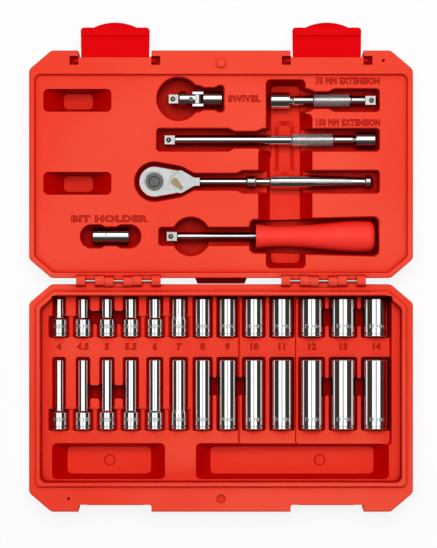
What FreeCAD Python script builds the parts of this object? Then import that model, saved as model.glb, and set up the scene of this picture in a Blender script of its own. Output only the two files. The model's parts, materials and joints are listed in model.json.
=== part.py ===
import FreeCAD, Part
import math
import os

V = FreeCAD.Vector
X_AXIS = V(1, 0, 0)
Y_AXIS = V(0, 1, 0)
Z_AXIS = V(0, 0, 1)

# Case halves: millimetres, lid opened flat, base underside at z = 0
CASE_WIDTH = 275.0
CASE_DEPTH = 163.0
HALF_HEIGHT = 27.0
CORNER_CUT_X = 16.0
CORNER_CUT_Y = 13.6
CORNER_ROUND = 5.0
WALL_DRAFT = 2.0
EDGE_ROUND = 3.0
RIM_CHAMFER = 0.7
MOUTH_CHAMFER = 0.9
NEEDLE_RADIUS = 0.6
NEEDLE_DEPTH = 2.5
BASE_NEEDLE = (-109.2, 155.7)
LID_NEEDLE = (116.2, 158.0)
HINGE_GAP = 4.4
RIM_GAP = 0.3

# Step in the lid's rim, and the lip of the base that closes into it
STEP_INSET = 4.4
STEP_DEPTH = 2.5
FRONT_FLANGE = 17.4
STEP_ROUND = 4.0
LIP_CLEARANCE = 0.4
LIP_WIDTH = 3.5
LIP_HEIGHT = 2.1
TRAY_DRAFT = 0.6

# Hinges along the back walls
HINGE_SETBACK = 64.1
KNUCKLE_LENGTH = 20.2
KNUCKLE_RADIUS = 4.15
KNUCKLE_PLAY = 0.3
KNUCKLE_WINDOW = 7.0
WINDOW_SINK = 0.4
HINGE_PIN_RADIUS = 1.3
RUNNING_FIT = 0.05
SPINE_FOOT_WIDTH = 40.0
SPINE_FOOT_TAPER = 3.0
SPINE_FOOT_LOW = 1.5
SPINE_FOOT_HIGH = 9.0

# Latches on the front flange of the lid
LATCH_SETBACK = 61.5
LATCH_WIDTH = 48.8
LATCH_LENGTH = 27.7
LATCH_SHOULDER = 24.2
LATCH_BULGE = 17.5
LATCH_FLARE = 0.4
LATCH_THICKNESS = 2.4
LATCH_ROOT = 2.0
LATCH_CORNER = 2.5
PIVOT_SETBACK = 7.2
PIVOT_DROP = 4.0
PIVOT_RADIUS = 2.1
STUB_RADIUS = 1.6
STUB_LENGTH = 4.8
LATCH_PLAY = 0.5
NOTCH_WIDTH = 52.4
NOTCH_DEPTH = 5.0
NOTCH_ROUND = 1.8
LATCH_GAP = 0.3
FLANGE_THICKNESS = 1.7
PIVOT_WALL = 1.2
WINDOW_SIZE = 6.3
CATCH_AT = 17.0
CATCH_LENGTH = 40.0
CATCH_HEIGHT = 2.0
CATCH_REACH = 1.2
CATCH_GROOVE_WIDTH = 2.8
CATCH_GROOVE_DEPTH = 1.3
THUMB_RADIUS = 14.0
THUMB_DEPTH = 0.8
THUMB_AT = 23.0

# Sockets
SIZES = (4, 4.5, 5, 5.5, 6, 7, 8, 9, 10, 11, 12, 13, 14)
SOCKET_WALL = 2.4
SOCKET_OD_PER_MM = 1.2
DRIVE_OD = 12.0
DRIVE_END = 14.1
SHOULDER = 1.8
SHALLOW_LENGTH = 27.6
DEEP_LENGTH = 50.3
SHALLOW_HEX_DEPTH = 10.0
DEEP_HEX_DEPTH = 26.0
HEX_PLAY = 0.1
SQUARE = 6.35
SQUARE_PLAY = 0.1
SQUARE_DEPTH = 9.0
SOCKET_CHAMFER = 0.5
SOCKET_GAP = 5.2
SOCKET_TOP = 23.6
ROW_CENTRE_X = -0.6
SHALLOW_ROW = 12.4
LABEL_STRIP = 16.5
SEAT_PLAY = 0.3
POCKET_FLARE = 0.85
POCKET_END = 0.8
NOSE_GAP = 1.9
TRAY_RISE = 1.4
WEB_DROP = 1.5
WEB_MARGIN = 1.6
FINGER_ROUND = 2.0
POCKET_ROUND = 1.8
WEB_FLAT = 0.2
TRENCH_WIDTH = 9.5
WIDE_TRENCH_WIDTH = 12.6
FINGER_TRENCH_FLOOR = 4.5
STEP_MARGIN = 0.7
STEP_SLOPE = 1.6
STEP_CORNER = 2.5
POCKET_CHAMFER = 0.6

# Storage bins of the base and the lid
BIN_BACK = 116.5
BIN_WIDTH = 25.9
BIN_SLOPE_X = 10.5
BIN_SLOPE_Y = 3.2
BIN_FLOOR = 5.0
BIN_ROUND = 3.5
LEFT_BIN = (-121.5, -40.2)
RIGHT_BIN = (-18.1, 120.8)
KISS_RADIUS = 3.8
KISS_DEPTH = 0.9
KISS_X = (-80.5, 71.4)
LID_BIN_X = -103.0
LID_BIN_LENGTH = 48.9
LID_BIN_WIDTH = 16.4
LID_BIN_SLOPE_X = 14.0
LID_BIN_SLOPE_Y = 2.6
LID_BIN_FLOOR = 8.0
LID_BIN_V = (129.6, 70.1)

# Locating peg of the lid and its recess in the base
PEG_RADIUS = 2.9
PEG_HEIGHT = 1.6
PEG_PLAY = 0.3
PEG_SETBACK = 9.2

# Tools in the lid, v is the distance from the hinge line
TOOL_Z = 17.5
POCKET_PLAY = 0.3
TOOL_POCKET_ROUND = 2.0
TRENCH_X = (26.6, 65.6)
TRENCH_END_X = (32.1, 60.7)
TRENCH_V = (9.1, 144.7)
TRENCH_WIDE_V = (22.0, 95.0)
TRENCH_RIGHT_V = (22.0, 120.0)
TRENCH_SLOPE = 8.7
TRENCH_END_SLOPE = 4.0
TRENCH_FLOOR = 9.5
GROOVE_X = (38.7, 53.0)
GROOVE_V = (75.9, 115.5)
GROOVE_SINK = 2.0
GROOVE_SLOPE = 3.2

# Extension bars
SHORT_LENGTH = 76.2
LONG_LENGTH = 152.4
SHORT_FEMALE_X = 35.7
LONG_FEMALE_X = 111.0
SHORT_V = 129.8
LONG_V = 101.4
FEMALE_LENGTH = 13.6
BAR_RADIUS = 3.6
KNURL_RADIUS = 4.2
SHORT_KNURL = (31.3, 57.3)
LONG_KNURL = (30.3, 59.5)
MALE_LENGTH = 7.7
MALE_NECK = 2.6
BALL_RADIUS = 1.2
BALL_PROUD = 0.5
BALL_FIT = 0.08
BALL_TRAVEL = 0.5
BALL_FROM_TIP = 3.8
NARROW_SLOT = 11.4
WIDE_SLOT = 15.6
SLOT_END = 2.2
SHORT_WAIST = 10.0
LONG_WAIST_AT = 51.0
LONG_WAIST = 16.0

# Universal joint
SWIVEL_V = 130.8
SWIVEL_SOCKET_X = 1.0
SWIVEL_SOCKET_LENGTH = 13.6
SWIVEL_OD = 12.0
SWIVEL_PITCH_X = -16.8
SWIVEL_YAW_X = -21.5
SWIVEL_DRIVE_X = -30.7
SWIVEL_EAR = 3.7
BLOCK_HALF = 3.1
EAR_HALF = 3.0
BLOCK_PLAY = 0.3
CROSS_PIN_RADIUS = 1.4
FINGER_HOLE_RADIUS = 15.2
FINGER_HOLE_X = -30.5
FINGER_FLOOR = 5.0
SWIVEL_SLOT = 18.4
SWIVEL_WAIST = 15.3
SWIVEL_WAIST_X = (-12.5, -4.6)

# Bit adapter
ADAPTER_V = 32.1
ADAPTER_X = -92.2
ADAPTER_LENGTH = 26.1
ADAPTER_OD = 12.0
ADAPTER_GROOVE_AT = 9.8
ADAPTER_GROOVE = 1.2
BIT_HEX = 6.35
BIT_DEPTH = 12.0
RING_DEPTH = 0.7
ADAPTER_POCKET_WIDTH = 15.9
ADAPTER_POCKET_END = 8.2
ADAPTER_WAIST = 12.8
ADAPTER_WAIST_HALF = 4.0

# Spinner handle
SPINNER_V = 32.1
GRIP_X = 25.2
GRIP_LENGTH = 85.5
GRIP_COLLAR_RADIUS = 9.3
GRIP_WAIST_RADIUS = 7.2
GRIP_RADIUS = 11.6
GRIP_WAIST_AT = 18.0
GRIP_FULL_AT = 70.0
GRIP_END_ROUND = 5.0
GRIP_FLOOR = 2.6
SHANK_RADIUS = 3.1
SHANK_OUT = 65.1
SHANK_IN = 40.0
SPINNER_HOLE_X = -21.6
SPINNER_HOLE_RADIUS = 13.5
SHANK_SLOT = 12.3
GRIP_POCKET_LEFT = 23.4
GRIP_POCKET_RIGHT = 27.6
GRIP_POCKET_PLAY = 2.2

# Ratchet, x measured from its drive axis towards the handle
RATCHET_V = 71.3
RATCHET_X = -47.8
RATCHET_FACE_Z = 24.4
HEAD_RADIUS = 11.4
HEAD_HEIGHT = 11.5
HEAD_SHOULDER_X = 19.7
HEAD_SHOULDER_HALF = 8.1
HEAD_END_X = 28.5
SHOULDER_ROUND = 9.0
NECK_BLEND = 5.0
NECK_TAIL = 4.0
SHANK_HALF = 2.9
HEAD_POCKET_PLAY = 2.4
COUNTERBORE_RADIUS = 7.2
COUNTERBORE_DEPTH = 1.2
HUB_RADIUS = 6.35
HUB_DROP = 0.9
TOP_WALL = 3.2
PLATE_THICKNESS = 2.0
PLATE_EDGE = 1.8
GEAR_TEETH = 36
GEAR_TIP = 8.0
GEAR_DEPTH = 0.7
GEAR_PLAY = 0.3
LOWER_HUB_RADIUS = 5.5
BUTTON_RADIUS = 3.8
BUTTON_HEIGHT = 3.0
BUTTON_DROP = 0.2
BUTTON_TRAVEL = 1.6
PLUNGER_RADIUS = 0.7
PLUNGER_LENGTH = 12.5
LEVER_X = 14.7
LEVER_RADIUS = 2.7
LEVER_LENGTH = 7.4
LEVER_TIP_HALF = 1.3
LEVER_TIP_ROUND = 0.6
LEVER_HEIGHT = 1.7
LEVER_ANGLE = -44.0
LEVER_SHAFT_RADIUS = 2.0
DECK_DEPTH = 1.6
DECK_APEX_X = 7.5
DECK_START_X = 10.4
DECK_HALF_ANGLE = 38.0
PAWL_SWING = 6.0
PAWL_TIP_X = 6.5
PAWL_TIP_HALF = 6.3
PAWL_HUB = 2.8
PAWL_CAVITY_HALF = 8.7
PAWL_CAVITY_X = 5.5
SCREW_RADIUS = 1.0
SCREW_HEAD_RADIUS = 1.7
SCREW_LENGTH = 4.5
SCREW_AT = (19.5, 3.6)
COLLAR_X = 66.9
COLLAR_LENGTH = 5.4
COLLAR_RADIUS = 4.4
LOWER_NECK_RADIUS = 3.0
HANDLE_X = 83.6
HANDLE_LENGTH = 67.6
HANDLE_RADIUS = 4.8
HANDLE_TAIL_RADIUS = 3.2
KNOB_LENGTH = 5.6
KNOB_RADIUS = 4.7
HANDLE_SLOT_END = 4.2

# Derived places
HINGE_X = CASE_WIDTH / 2 - HINGE_SETBACK
LATCH_X = CASE_WIDTH / 2 - LATCH_SETBACK
HINGE_Y = (CASE_DEPTH + HINGE_GAP) / 2
HINGE_Z = HALF_HEIGHT + RIM_GAP / 2
BACK_WALL = HINGE_GAP / 2
FRONT_EDGE = BACK_WALL + CASE_DEPTH
PANEL_Z = HALF_HEIGHT - STEP_DEPTH
LIP_INSET = STEP_INSET + LIP_CLEARANCE
LIP_FRONT = FRONT_FLANGE + LIP_CLEARANCE
LIP_TOP = HALF_HEIGHT + LIP_HEIGHT
TRAY_Z = SOCKET_TOP - DRIVE_OD / 2 + TRAY_RISE
PIVOT_V = FRONT_EDGE - PIVOT_SETBACK
PIVOT_Z = HALF_HEIGHT - PIVOT_DROP
LATCH_OFFSET = PIVOT_SETBACK - NOTCH_DEPTH + LATCH_GAP
SLOT_RIGHT = LONG_FEMALE_X + SLOT_END
HEAD_MID_Z = RATCHET_FACE_Z - HEAD_HEIGHT / 2
SPINNER_Z = GRIP_FLOOR + POCKET_PLAY + GRIP_RADIUS
ABOVE = LIP_TOP + 1.0


def base_y(v):
    return HINGE_Y - v


def lid_y(v):
    return HINGE_Y + v


def box(x0, x1, y0, y1, z0, z1):
    low = V(min(x0, x1), min(y0, y1), min(z0, z1))
    return Part.makeBox(abs(x1 - x0), abs(y1 - y0), abs(z1 - z0), low)


def rod_x(x0, x1, y, z, radius):
    return Part.makeCylinder(radius, x1 - x0, V(x0, y, z), X_AXIS)


def rod_y(x, y0, y1, z, radius):
    return Part.makeCylinder(radius, y1 - y0, V(x, y0, z), Y_AXIS)


def rod_z(x, y, z0, z1, radius):
    return Part.makeCylinder(radius, z1 - z0, V(x, y, z0), Z_AXIS)


def turned(points, origin, axis, across):
    """Solid of revolution: points are (along, radius) pairs from end to end."""
    ring = [(points[0][0], 0.0)] + list(points) + [(points[-1][0], 0.0)]
    corners = [origin + axis * a + across * r for a, r in ring]
    face = Part.Face(Part.makePolygon(corners + corners[:1]))
    return face.revolve(origin, axis, 360)


def prism(wire, height):
    return Part.Face(wire).extrude(V(0, 0, height))


def loft(wires):
    return Part.makeLoft(wires, True, True)


def rounded(corners, z):
    """Closed flat outline through (x, y, radius) corners, each rounded by a tangent arc."""
    edges = []
    ends = []
    count = len(corners)
    for i, (x, y, radius) in enumerate(corners):
        here = V(x, y, z)
        back = V(corners[i - 1][0], corners[i - 1][1], z) - here
        ahead = V(corners[(i + 1) % count][0], corners[(i + 1) % count][1], z) - here
        back.normalize()
        ahead.normalize()
        if radius <= 0:
            ends.append((here, None, here))
            continue
        half = back.getAngle(ahead) / 2
        reach = radius / math.tan(half)
        middle = back + ahead
        middle.normalize()
        top = here + middle * (radius / math.sin(half) - radius)
        ends.append((here + back * reach, top, here + ahead * reach))
    for i, (start, top, stop) in enumerate(ends):
        if top is not None:
            edges.append(Part.Arc(start, top, stop).toShape())
        following = ends[(i + 1) % count][0]
        if (following - stop).Length > 1e-6:
            edges.append(Part.makeLine(stop, following))
    return Part.Wire(edges)


def rectangle(x0, x1, y0, y1, z, radius):
    low = min(y0, y1)
    high = max(y0, y1)
    corners = [(x0, low, radius), (x1, low, radius), (x1, high, radius), (x0, high, radius)]
    return rounded(corners, z)


def sunk(x0, x1, y0, y1, floor, top, radius):
    """Cutter for a straight pocket with rounded corners."""
    return prism(rectangle(x0, x1, y0, y1, floor, radius), top - floor)


def flared(outline, floor, top, chamfer):
    """Cutter from floor up through a chamfered mouth at top: outline(grow, z) gives its plan."""
    straight = [outline(0, floor), outline(0, top - chamfer)]
    return loft(straight + [outline(chamfer, top), outline(chamfer, ABOVE)])


def flared_round(x, y, floor, top, radius, chamfer):
    """Round pocket with a chamfered mouth."""
    profile = [(floor, radius), (top - chamfer, radius), (top, radius + chamfer), (ABOVE, radius + chamfer)]
    return turned(profile, V(x, y, 0), Z_AXIS, X_AXIS)


def tapered(x0, x1, y0, y1, floor, top, slope_x, slope_y, radius):
    """Cutter for a pocket whose four walls lean in towards its floor."""
    low = min(y0, y1)
    high = max(y0, y1)
    mouth = rectangle(x0, x1, low, high, top, radius)
    bottom = rectangle(x0 + slope_x, x1 - slope_x, low + slope_y, high - slope_y, floor, radius)
    neck = rectangle(x0, x1, low, high, top, radius)
    return loft([bottom, mouth]).fuse(prism(neck, ABOVE - top))


def corner_share(inset):
    """How far the corner cuts shrink when the case outline moves in by inset."""
    slant = math.hypot(1 / CORNER_CUT_X, 1 / CORNER_CUT_Y)
    return 1 + inset * (slant - 1 / CORNER_CUT_X - 1 / CORNER_CUT_Y)


def case_outline(inset, z, place):
    half = CASE_WIDTH / 2 - inset
    back = BACK_WALL + inset
    front = FRONT_EDGE - inset
    cut_x = CORNER_CUT_X * corner_share(inset)
    cut_y = CORNER_CUT_Y * corner_share(inset)
    right = [(half - cut_x, back), (half, back + cut_y), (half, front - cut_y), (half - cut_x, front)]
    left = [(-x, v) for x, v in reversed(right)]
    return rounded([(x, place(v), CORNER_ROUND) for x, v in right + left], z)


def step_outline(inset, front_inset, z, place):
    half = CASE_WIDTH / 2 - inset
    back = BACK_WALL + inset
    front = FRONT_EDGE - front_inset
    cut_x = CORNER_CUT_X * corner_share(inset)
    cut_y = CORNER_CUT_Y * corner_share(inset)
    right = [(half - cut_x, back), (half, back + cut_y), (half, front)]
    left = [(-x, v) for x, v in reversed(right)]
    return rounded([(x, place(v), STEP_ROUND) for x, v in right + left], z)


def half_block(place):
    """Outer form of one half: leaning walls, rounded underside edges."""
    shoulder = HALF_HEIGHT - RIM_CHAMFER
    walls = [case_outline(WALL_DRAFT, 0, place), case_outline(0, shoulder, place)]
    block = loft(walls + [case_outline(RIM_CHAMFER, HALF_HEIGHT, place)])
    rim = [e for e in block.Edges if e.BoundBox.ZMax < 1e-4]
    return block.makeFillet(EDGE_ROUND, rim)


def front_notch(x, place):
    """Cutter for the notch in a front wall that a latch swings through."""
    half = NOTCH_WIDTH / 2
    inner = FRONT_EDGE - NOTCH_DEPTH
    outer = FRONT_EDGE + NOTCH_DEPTH
    corners = [(x - half, inner), (x + half, inner), (x + half, outer), (x - half, outer)]
    outline = [(a, place(v), NOTCH_ROUND) for a, v in corners]
    return prism(rounded(outline, -1.0), ABOVE + 1.0)


def knuckle(x):
    length = KNUCKLE_LENGTH - KNUCKLE_PLAY
    return rod_x(x - length / 2, x + length / 2, HINGE_Y, HINGE_Z, KNUCKLE_RADIUS)


def knuckle_room(x):
    """Cutter that clears the other half's knuckle."""
    radius = KNUCKLE_RADIUS + LIP_CLEARANCE
    return rod_x(x - KNUCKLE_LENGTH / 2, x + KNUCKLE_LENGTH / 2, HINGE_Y, HINGE_Z, radius)


def knuckle_window(x):
    reach = KNUCKLE_RADIUS + LIP_CLEARANCE
    half = KNUCKLE_WINDOW / 2
    return box(x - half, x + half, HINGE_Y - reach, HINGE_Y + reach, HINGE_Z - WINDOW_SINK, HINGE_Z + reach)


def pin_bore(x):
    reach = KNUCKLE_LENGTH * 1.5
    return rod_x(x - reach, x + reach, HINGE_Y, HINGE_Z, HINGE_PIN_RADIUS + RUNNING_FIT)


def hinge_pin(x):
    reach = KNUCKLE_LENGTH * 1.5 - KNUCKLE_PLAY
    return rod_x(x - reach, x + reach, HINGE_Y, HINGE_Z, HINGE_PIN_RADIUS)


def nose_od(size):
    return SOCKET_WALL + SOCKET_OD_PER_MM * size


def drive_od(size):
    return max(DRIVE_OD, nose_od(size))


def socket_places():
    """Centre of each socket along the row, spaced by their diameters and one gap."""
    places = [0.0]
    for left, right in zip(SIZES, SIZES[1:]):
        places.append(places[-1] + (drive_od(left) + drive_od(right)) / 2 + SOCKET_GAP)
    low = places[0] - drive_od(SIZES[0]) / 2
    high = places[-1] + drive_od(SIZES[-1]) / 2
    return [x - (low + high) / 2 + ROW_CENTRE_X for x in places]


def socket_z(size):
    return SOCKET_TOP - drive_od(size) / 2


def tray_level(size):
    return socket_z(size) + TRAY_RISE


SOCKET_X = socket_places()
DEEP_ROW = SHALLOW_ROW + SHALLOW_LENGTH + LABEL_STRIP
DEEP_END = DEEP_ROW + DEEP_LENGTH
MIDDLE_STEP = SIZES.index(10)
LOWER_STEP = SIZES.index(12)
STEP_STARTS = (0, MIDDLE_STEP, LOWER_STEP)
STEP_SIZE = {size: SIZES[max(s for s in STEP_STARTS if s <= i)] for i, size in enumerate(SIZES)}


def socket(size, x, nose_v, length, hex_depth):
    """Socket lying along the row with its nose towards the hinge."""
    y = base_y(nose_v + length)
    z = socket_z(size)
    nose = nose_od(size) / 2
    drive = drive_od(size) / 2
    edge = SOCKET_CHAMFER
    outline = [(0, drive - edge), (edge, drive)]
    if nose < drive:
        outline += [(DRIVE_END - SHOULDER, drive), (DRIVE_END, nose)]
    outline += [(length - edge, nose), (length, nose - edge)]
    body = turned(outline, V(x, y, z), Y_AXIS, X_AXIS)
    half = (SQUARE + SQUARE_PLAY) / 2
    drive_hole = box(x - half, x + half, y - 1, y + SQUARE_DEPTH, z - half, z + half)
    return body.cut([drive_hole, hexagon_y(size + HEX_PLAY, x, y + length - hex_depth, y + length + 1, z)])


def hexagon_y(across_flats, x, y0, y1, z):
    radius = across_flats / math.sqrt(3)
    turns = [math.radians(60 * i) for i in range(7)]
    corners = [V(x + radius * math.cos(t), y0, z + radius * math.sin(t)) for t in turns]
    return Part.Face(Part.makePolygon(corners)).extrude(V(0, y1 - y0, 0))


def trough_y(x, y0, y1, z, radius, mouth, level):
    """Cutter with a round bottom and walls that open to a chamfered mouth at level."""
    left = V(x - radius, y0, z)
    right = V(x + radius, y0, z)
    arc = Part.Arc(left, V(x, y0, z - radius), right).toShape()
    edge = POCKET_CHAMFER
    side = [(mouth, level - edge), (mouth + edge, level), (mouth + edge, ABOVE)]
    rise = [right] + [V(x + a, y0, b) for a, b in side] + [V(x - a, y0, b) for a, b in reversed(side)] + [left]
    trough = Part.Face(Part.Wire([arc] + Part.makePolygon(rise).Edges)).extrude(V(0, y1 - y0, 0))
    half = mouth + edge
    return trough.common(sunk(x - half, x + half, y0, y1, 0, ABOVE, POCKET_ROUND))


def socket_pocket(size, x, nose_v, length):
    z = socket_z(size)
    level = tray_level(STEP_SIZE[size])
    nose = nose_od(size) / 2
    drive = drive_od(size) / 2
    start = base_y(nose_v + length + POCKET_END)
    shoulder = base_y(nose_v + length - DRIVE_END - POCKET_END)
    stop = base_y(nose_v - NOSE_GAP)
    drop = WEB_DROP if nose < drive else 0.0
    wide = trough_y(x, start, shoulder, z, drive + SEAT_PLAY, drive + POCKET_FLARE, level - drop)
    slim = trough_y(x, start, stop, z, nose + SEAT_PLAY, nose + POCKET_FLARE, level)
    return wide.fuse(slim)


def web_step(nose_v, length):
    """Cutter that lowers the webs beside the drive ends of the slim sockets, up to rounded fingers."""
    slim = [i for i, size in enumerate(SIZES) if nose_od(size) < DRIVE_OD]
    last = slim[-1]
    x0 = SOCKET_X[0] - DRIVE_OD / 2 - WEB_MARGIN
    x1 = SOCKET_X[last] + (DRIVE_OD + SOCKET_GAP) / 2
    y0 = base_y(nose_v + length)
    y1 = base_y(nose_v + length - DRIVE_END - POCKET_END)
    level = TRAY_Z - WEB_DROP
    edges = [(SOCKET_X[i], nose_od(SIZES[i]) / 2 + POCKET_FLARE) for i in slim]
    starts = [x0 - DRIVE_OD] + [x + half for x, half in edges]
    stops = [x - half for x, half in edges] + [x1 + DRIVE_OD]
    fingers = [sunk(a, b, y1, y1 + DRIVE_END, level - 1, ABOVE + 1, FINGER_ROUND) for a, b in zip(starts, stops)]
    return box(x0, x1, y0, y1 + FINGER_ROUND, level, ABOVE).cut(fingers)


def finger_trench(index, nose_v, length, share, width):
    """Cutter across the webs beside one socket, for finger room."""
    x0 = SOCKET_X[index - 1]
    x1 = SOCKET_X[index + 1] if index + 1 < len(SIZES) else SOCKET_X[index]
    y = base_y(nose_v + length * share)
    near = y - width / 2
    far = y + width / 2
    reach = FINGER_ROUND
    room = box(x0, x1, near - reach, far + reach, FINGER_TRENCH_FLOOR, TRAY_Z + TRAY_RISE)
    webs = []
    for i in range(index - 1, min(index + 1, len(SIZES) - 1)):
        for edge, way in ((near, -1), (far, 1)):
            nosed = edge > base_y(nose_v + length - DRIVE_END - POCKET_END)
            halves = [(nose_od(size) if nosed else drive_od(size)) / 2 + POCKET_FLARE for size in SIZES[i:i + 2]]
            sides = (SOCKET_X[i] + halves[0], SOCKET_X[i + 1] - halves[1])
            tip = min(FINGER_ROUND, (sides[1] - sides[0]) / 2 - WEB_FLAT)
            webs.append(sunk(sides[0], sides[1], edge, edge + way * DRIVE_END, 0, ABOVE, tip))
    return room.cut(webs)


def tray_step(first, last_x, level):
    """Cutter that lowers the tray for the larger sockets, with leaning walls."""
    x0 = SOCKET_X[first] - drive_od(SIZES[first]) / 2 - SOCKET_GAP + STEP_SLOPE / 2
    y0 = base_y(BIN_BACK + STEP_SLOPE)
    y1 = base_y(BACK_WALL + LIP_INSET + LIP_WIDTH + TRAY_DRAFT)
    return tapered(x0, last_x, y0, y1, level, TRAY_Z, STEP_SLOPE, STEP_SLOPE / 2, STEP_CORNER)


def case_base():
    body = half_block(base_y)
    edge = RIM_CHAMFER
    sides = [step_outline(LIP_INSET, LIP_FRONT, z, base_y) for z in (PANEL_Z, LIP_TOP - edge)]
    lip = loft(sides + [step_outline(LIP_INSET + edge, LIP_FRONT + edge, LIP_TOP, base_y)])
    hinges = [knuckle(side * HINGE_X + place * KNUCKLE_LENGTH) for side in (-1, 1) for place in (-1, 1)]
    body = body.fuse([lip] + hinges)
    inner = LIP_INSET + LIP_WIDTH
    inner_front = LIP_FRONT + LIP_WIDTH
    tray_foot = step_outline(inner + TRAY_DRAFT, inner_front + TRAY_DRAFT, TRAY_Z, base_y)
    tray_wall = step_outline(inner, inner_front, LIP_TOP - edge, base_y)
    tray_mouth = [step_outline(inner - edge, inner_front - edge, z, base_y) for z in (LIP_TOP, ABOVE)]
    tray = loft([tray_foot, tray_wall] + tray_mouth)
    right_edge = SOCKET_X[-1] + drive_od(SIZES[-1]) / 2 + POCKET_FLARE + STEP_MARGIN
    cuts = [tray]
    cuts.append(tray_step(MIDDLE_STEP, right_edge, tray_level(SIZES[MIDDLE_STEP])))
    cuts.append(tray_step(LOWER_STEP, right_edge, tray_level(SIZES[LOWER_STEP])))
    for size, x in zip(SIZES, SOCKET_X):
        cuts.append(socket_pocket(size, x, SHALLOW_ROW, SHALLOW_LENGTH))
        cuts.append(socket_pocket(size, x, DEEP_ROW, DEEP_LENGTH))
    cuts.append(web_step(SHALLOW_ROW, SHALLOW_LENGTH))
    cuts.append(web_step(DEEP_ROW, DEEP_LENGTH))
    last = len(SIZES) - 2
    cuts.append(finger_trench(2, SHALLOW_ROW, SHALLOW_LENGTH, 0.5, TRENCH_WIDTH))
    cuts.append(finger_trench(last, SHALLOW_ROW, SHALLOW_LENGTH, 0.5, WIDE_TRENCH_WIDTH))
    cuts.append(finger_trench(2, DEEP_ROW, DEEP_LENGTH, 0.46, TRENCH_WIDTH))
    cuts.append(finger_trench(MIDDLE_STEP - 1, DEEP_ROW, DEEP_LENGTH, 0.38, WIDE_TRENCH_WIDTH))
    cuts.append(finger_trench(last, DEEP_ROW, DEEP_LENGTH, 0.39, WIDE_TRENCH_WIDTH))
    for x0, x1 in (LEFT_BIN, RIGHT_BIN):
        y1 = base_y(BIN_BACK)
        cuts.append(tapered(x0, x1, y1 - BIN_WIDTH, y1, BIN_FLOOR, TRAY_Z, BIN_SLOPE_X, BIN_SLOPE_Y, BIN_ROUND))
    bin_y = base_y(BIN_BACK + BIN_WIDTH / 2)
    cuts += [rod_z(x, bin_y, BIN_FLOOR - KISS_DEPTH, TRAY_Z, KISS_RADIUS) for x in KISS_X]
    peg_y = base_y(FRONT_EDGE - PEG_SETBACK)
    cuts.append(rod_z(0, peg_y, HALF_HEIGHT - PEG_HEIGHT - PEG_PLAY, ABOVE, PEG_RADIUS + PEG_PLAY))
    cuts.append(needle_hole(BASE_NEEDLE, base_y))
    cuts += [front_notch(side * LATCH_X, base_y) for side in (-1, 1)]
    cuts += [knuckle_room(side * HINGE_X) for side in (-1, 1)]
    for side in (-1, 1):
        cuts += [knuckle_window(side * HINGE_X + place * KNUCKLE_LENGTH) for place in (-1, 1)]
        cuts.append(pin_bore(side * HINGE_X))
    body = body.cut(cuts)
    return body.fuse([catch(side * LATCH_X) for side in (-1, 1)])


def needle_hole(place, to_y):
    """Pinhole that the blowing needle leaves in a flange."""
    x, v = place
    return rod_z(x, to_y(v), HALF_HEIGHT - NEEDLE_DEPTH, ABOVE, NEEDLE_RADIUS)


def catch(x):
    """Rib on the base's front wall that a closed latch snaps over."""
    wall = base_y(FRONT_EDGE - NOTCH_DEPTH)
    z = 2 * HINGE_Z - PIVOT_Z - CATCH_AT
    half = CATCH_HEIGHT / 2
    corners = [V(0, wall + 1, z - half), V(0, wall, z - half), V(0, wall - CATCH_REACH, z - half / 2)]
    corners += [V(0, wall - CATCH_REACH, z + half / 2), V(0, wall, z + half), V(0, wall + 1, z + half)]
    face = Part.Face(Part.makePolygon(corners + corners[:1]))
    rib = face.extrude(V(CATCH_LENGTH, 0, 0))
    rib.translate(V(x - CATCH_LENGTH / 2, 0, 0))
    return rib


def latch(x):
    """Snap latch, swung open: flat plate, hooked groove, bulged tip, root barrel and stubs."""
    y = lid_y(PIVOT_V)
    half = LATCH_WIDTH / 2
    flare = half + LATCH_FLARE
    shoulder = y + LATCH_SHOULDER
    low = PIVOT_Z - LATCH_OFFSET - LATCH_THICKNESS
    corners = [(x - half, y - LATCH_ROOT, 0), (x + half, y - LATCH_ROOT, 0)]
    corners += [(x + flare, shoulder, LATCH_CORNER), (x - flare, shoulder, LATCH_CORNER)]
    plate = prism(rounded(corners, low), LATCH_THICKNESS)
    left = V(x - LATCH_BULGE, shoulder - 1, low)
    right = V(x + LATCH_BULGE, shoulder - 1, low)
    arc = Part.Arc(left, V(x, y + LATCH_LENGTH, low), right).toShape()
    bulge = prism(Part.Wire([arc, Part.makeLine(right, left)]), LATCH_THICKNESS)
    root = box(x - half, x + half, y - LATCH_ROOT, y + LATCH_ROOT, low, PIVOT_Z)
    barrel = rod_x(x - half, x + half, y, PIVOT_Z, PIVOT_RADIUS)
    stub = rod_x(x - half - STUB_LENGTH, x + half + STUB_LENGTH, y, PIVOT_Z, STUB_RADIUS)
    body = plate.fuse([bulge, root, barrel, stub])
    groove_y = y + CATCH_AT
    groove = box(x - half - 1, x + half + 1, groove_y - CATCH_GROOVE_WIDTH / 2, groove_y + CATCH_GROOVE_WIDTH / 2,
                 low + LATCH_THICKNESS - CATCH_GROOVE_DEPTH, low + LATCH_THICKNESS + 1)
    thumb_z = low + LATCH_THICKNESS - THUMB_DEPTH + THUMB_RADIUS
    thumb = rod_x(x - LATCH_BULGE, x + LATCH_BULGE, y + THUMB_AT, thumb_z, THUMB_RADIUS)
    return body.cut([groove, thumb]).removeSplitter()


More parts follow.
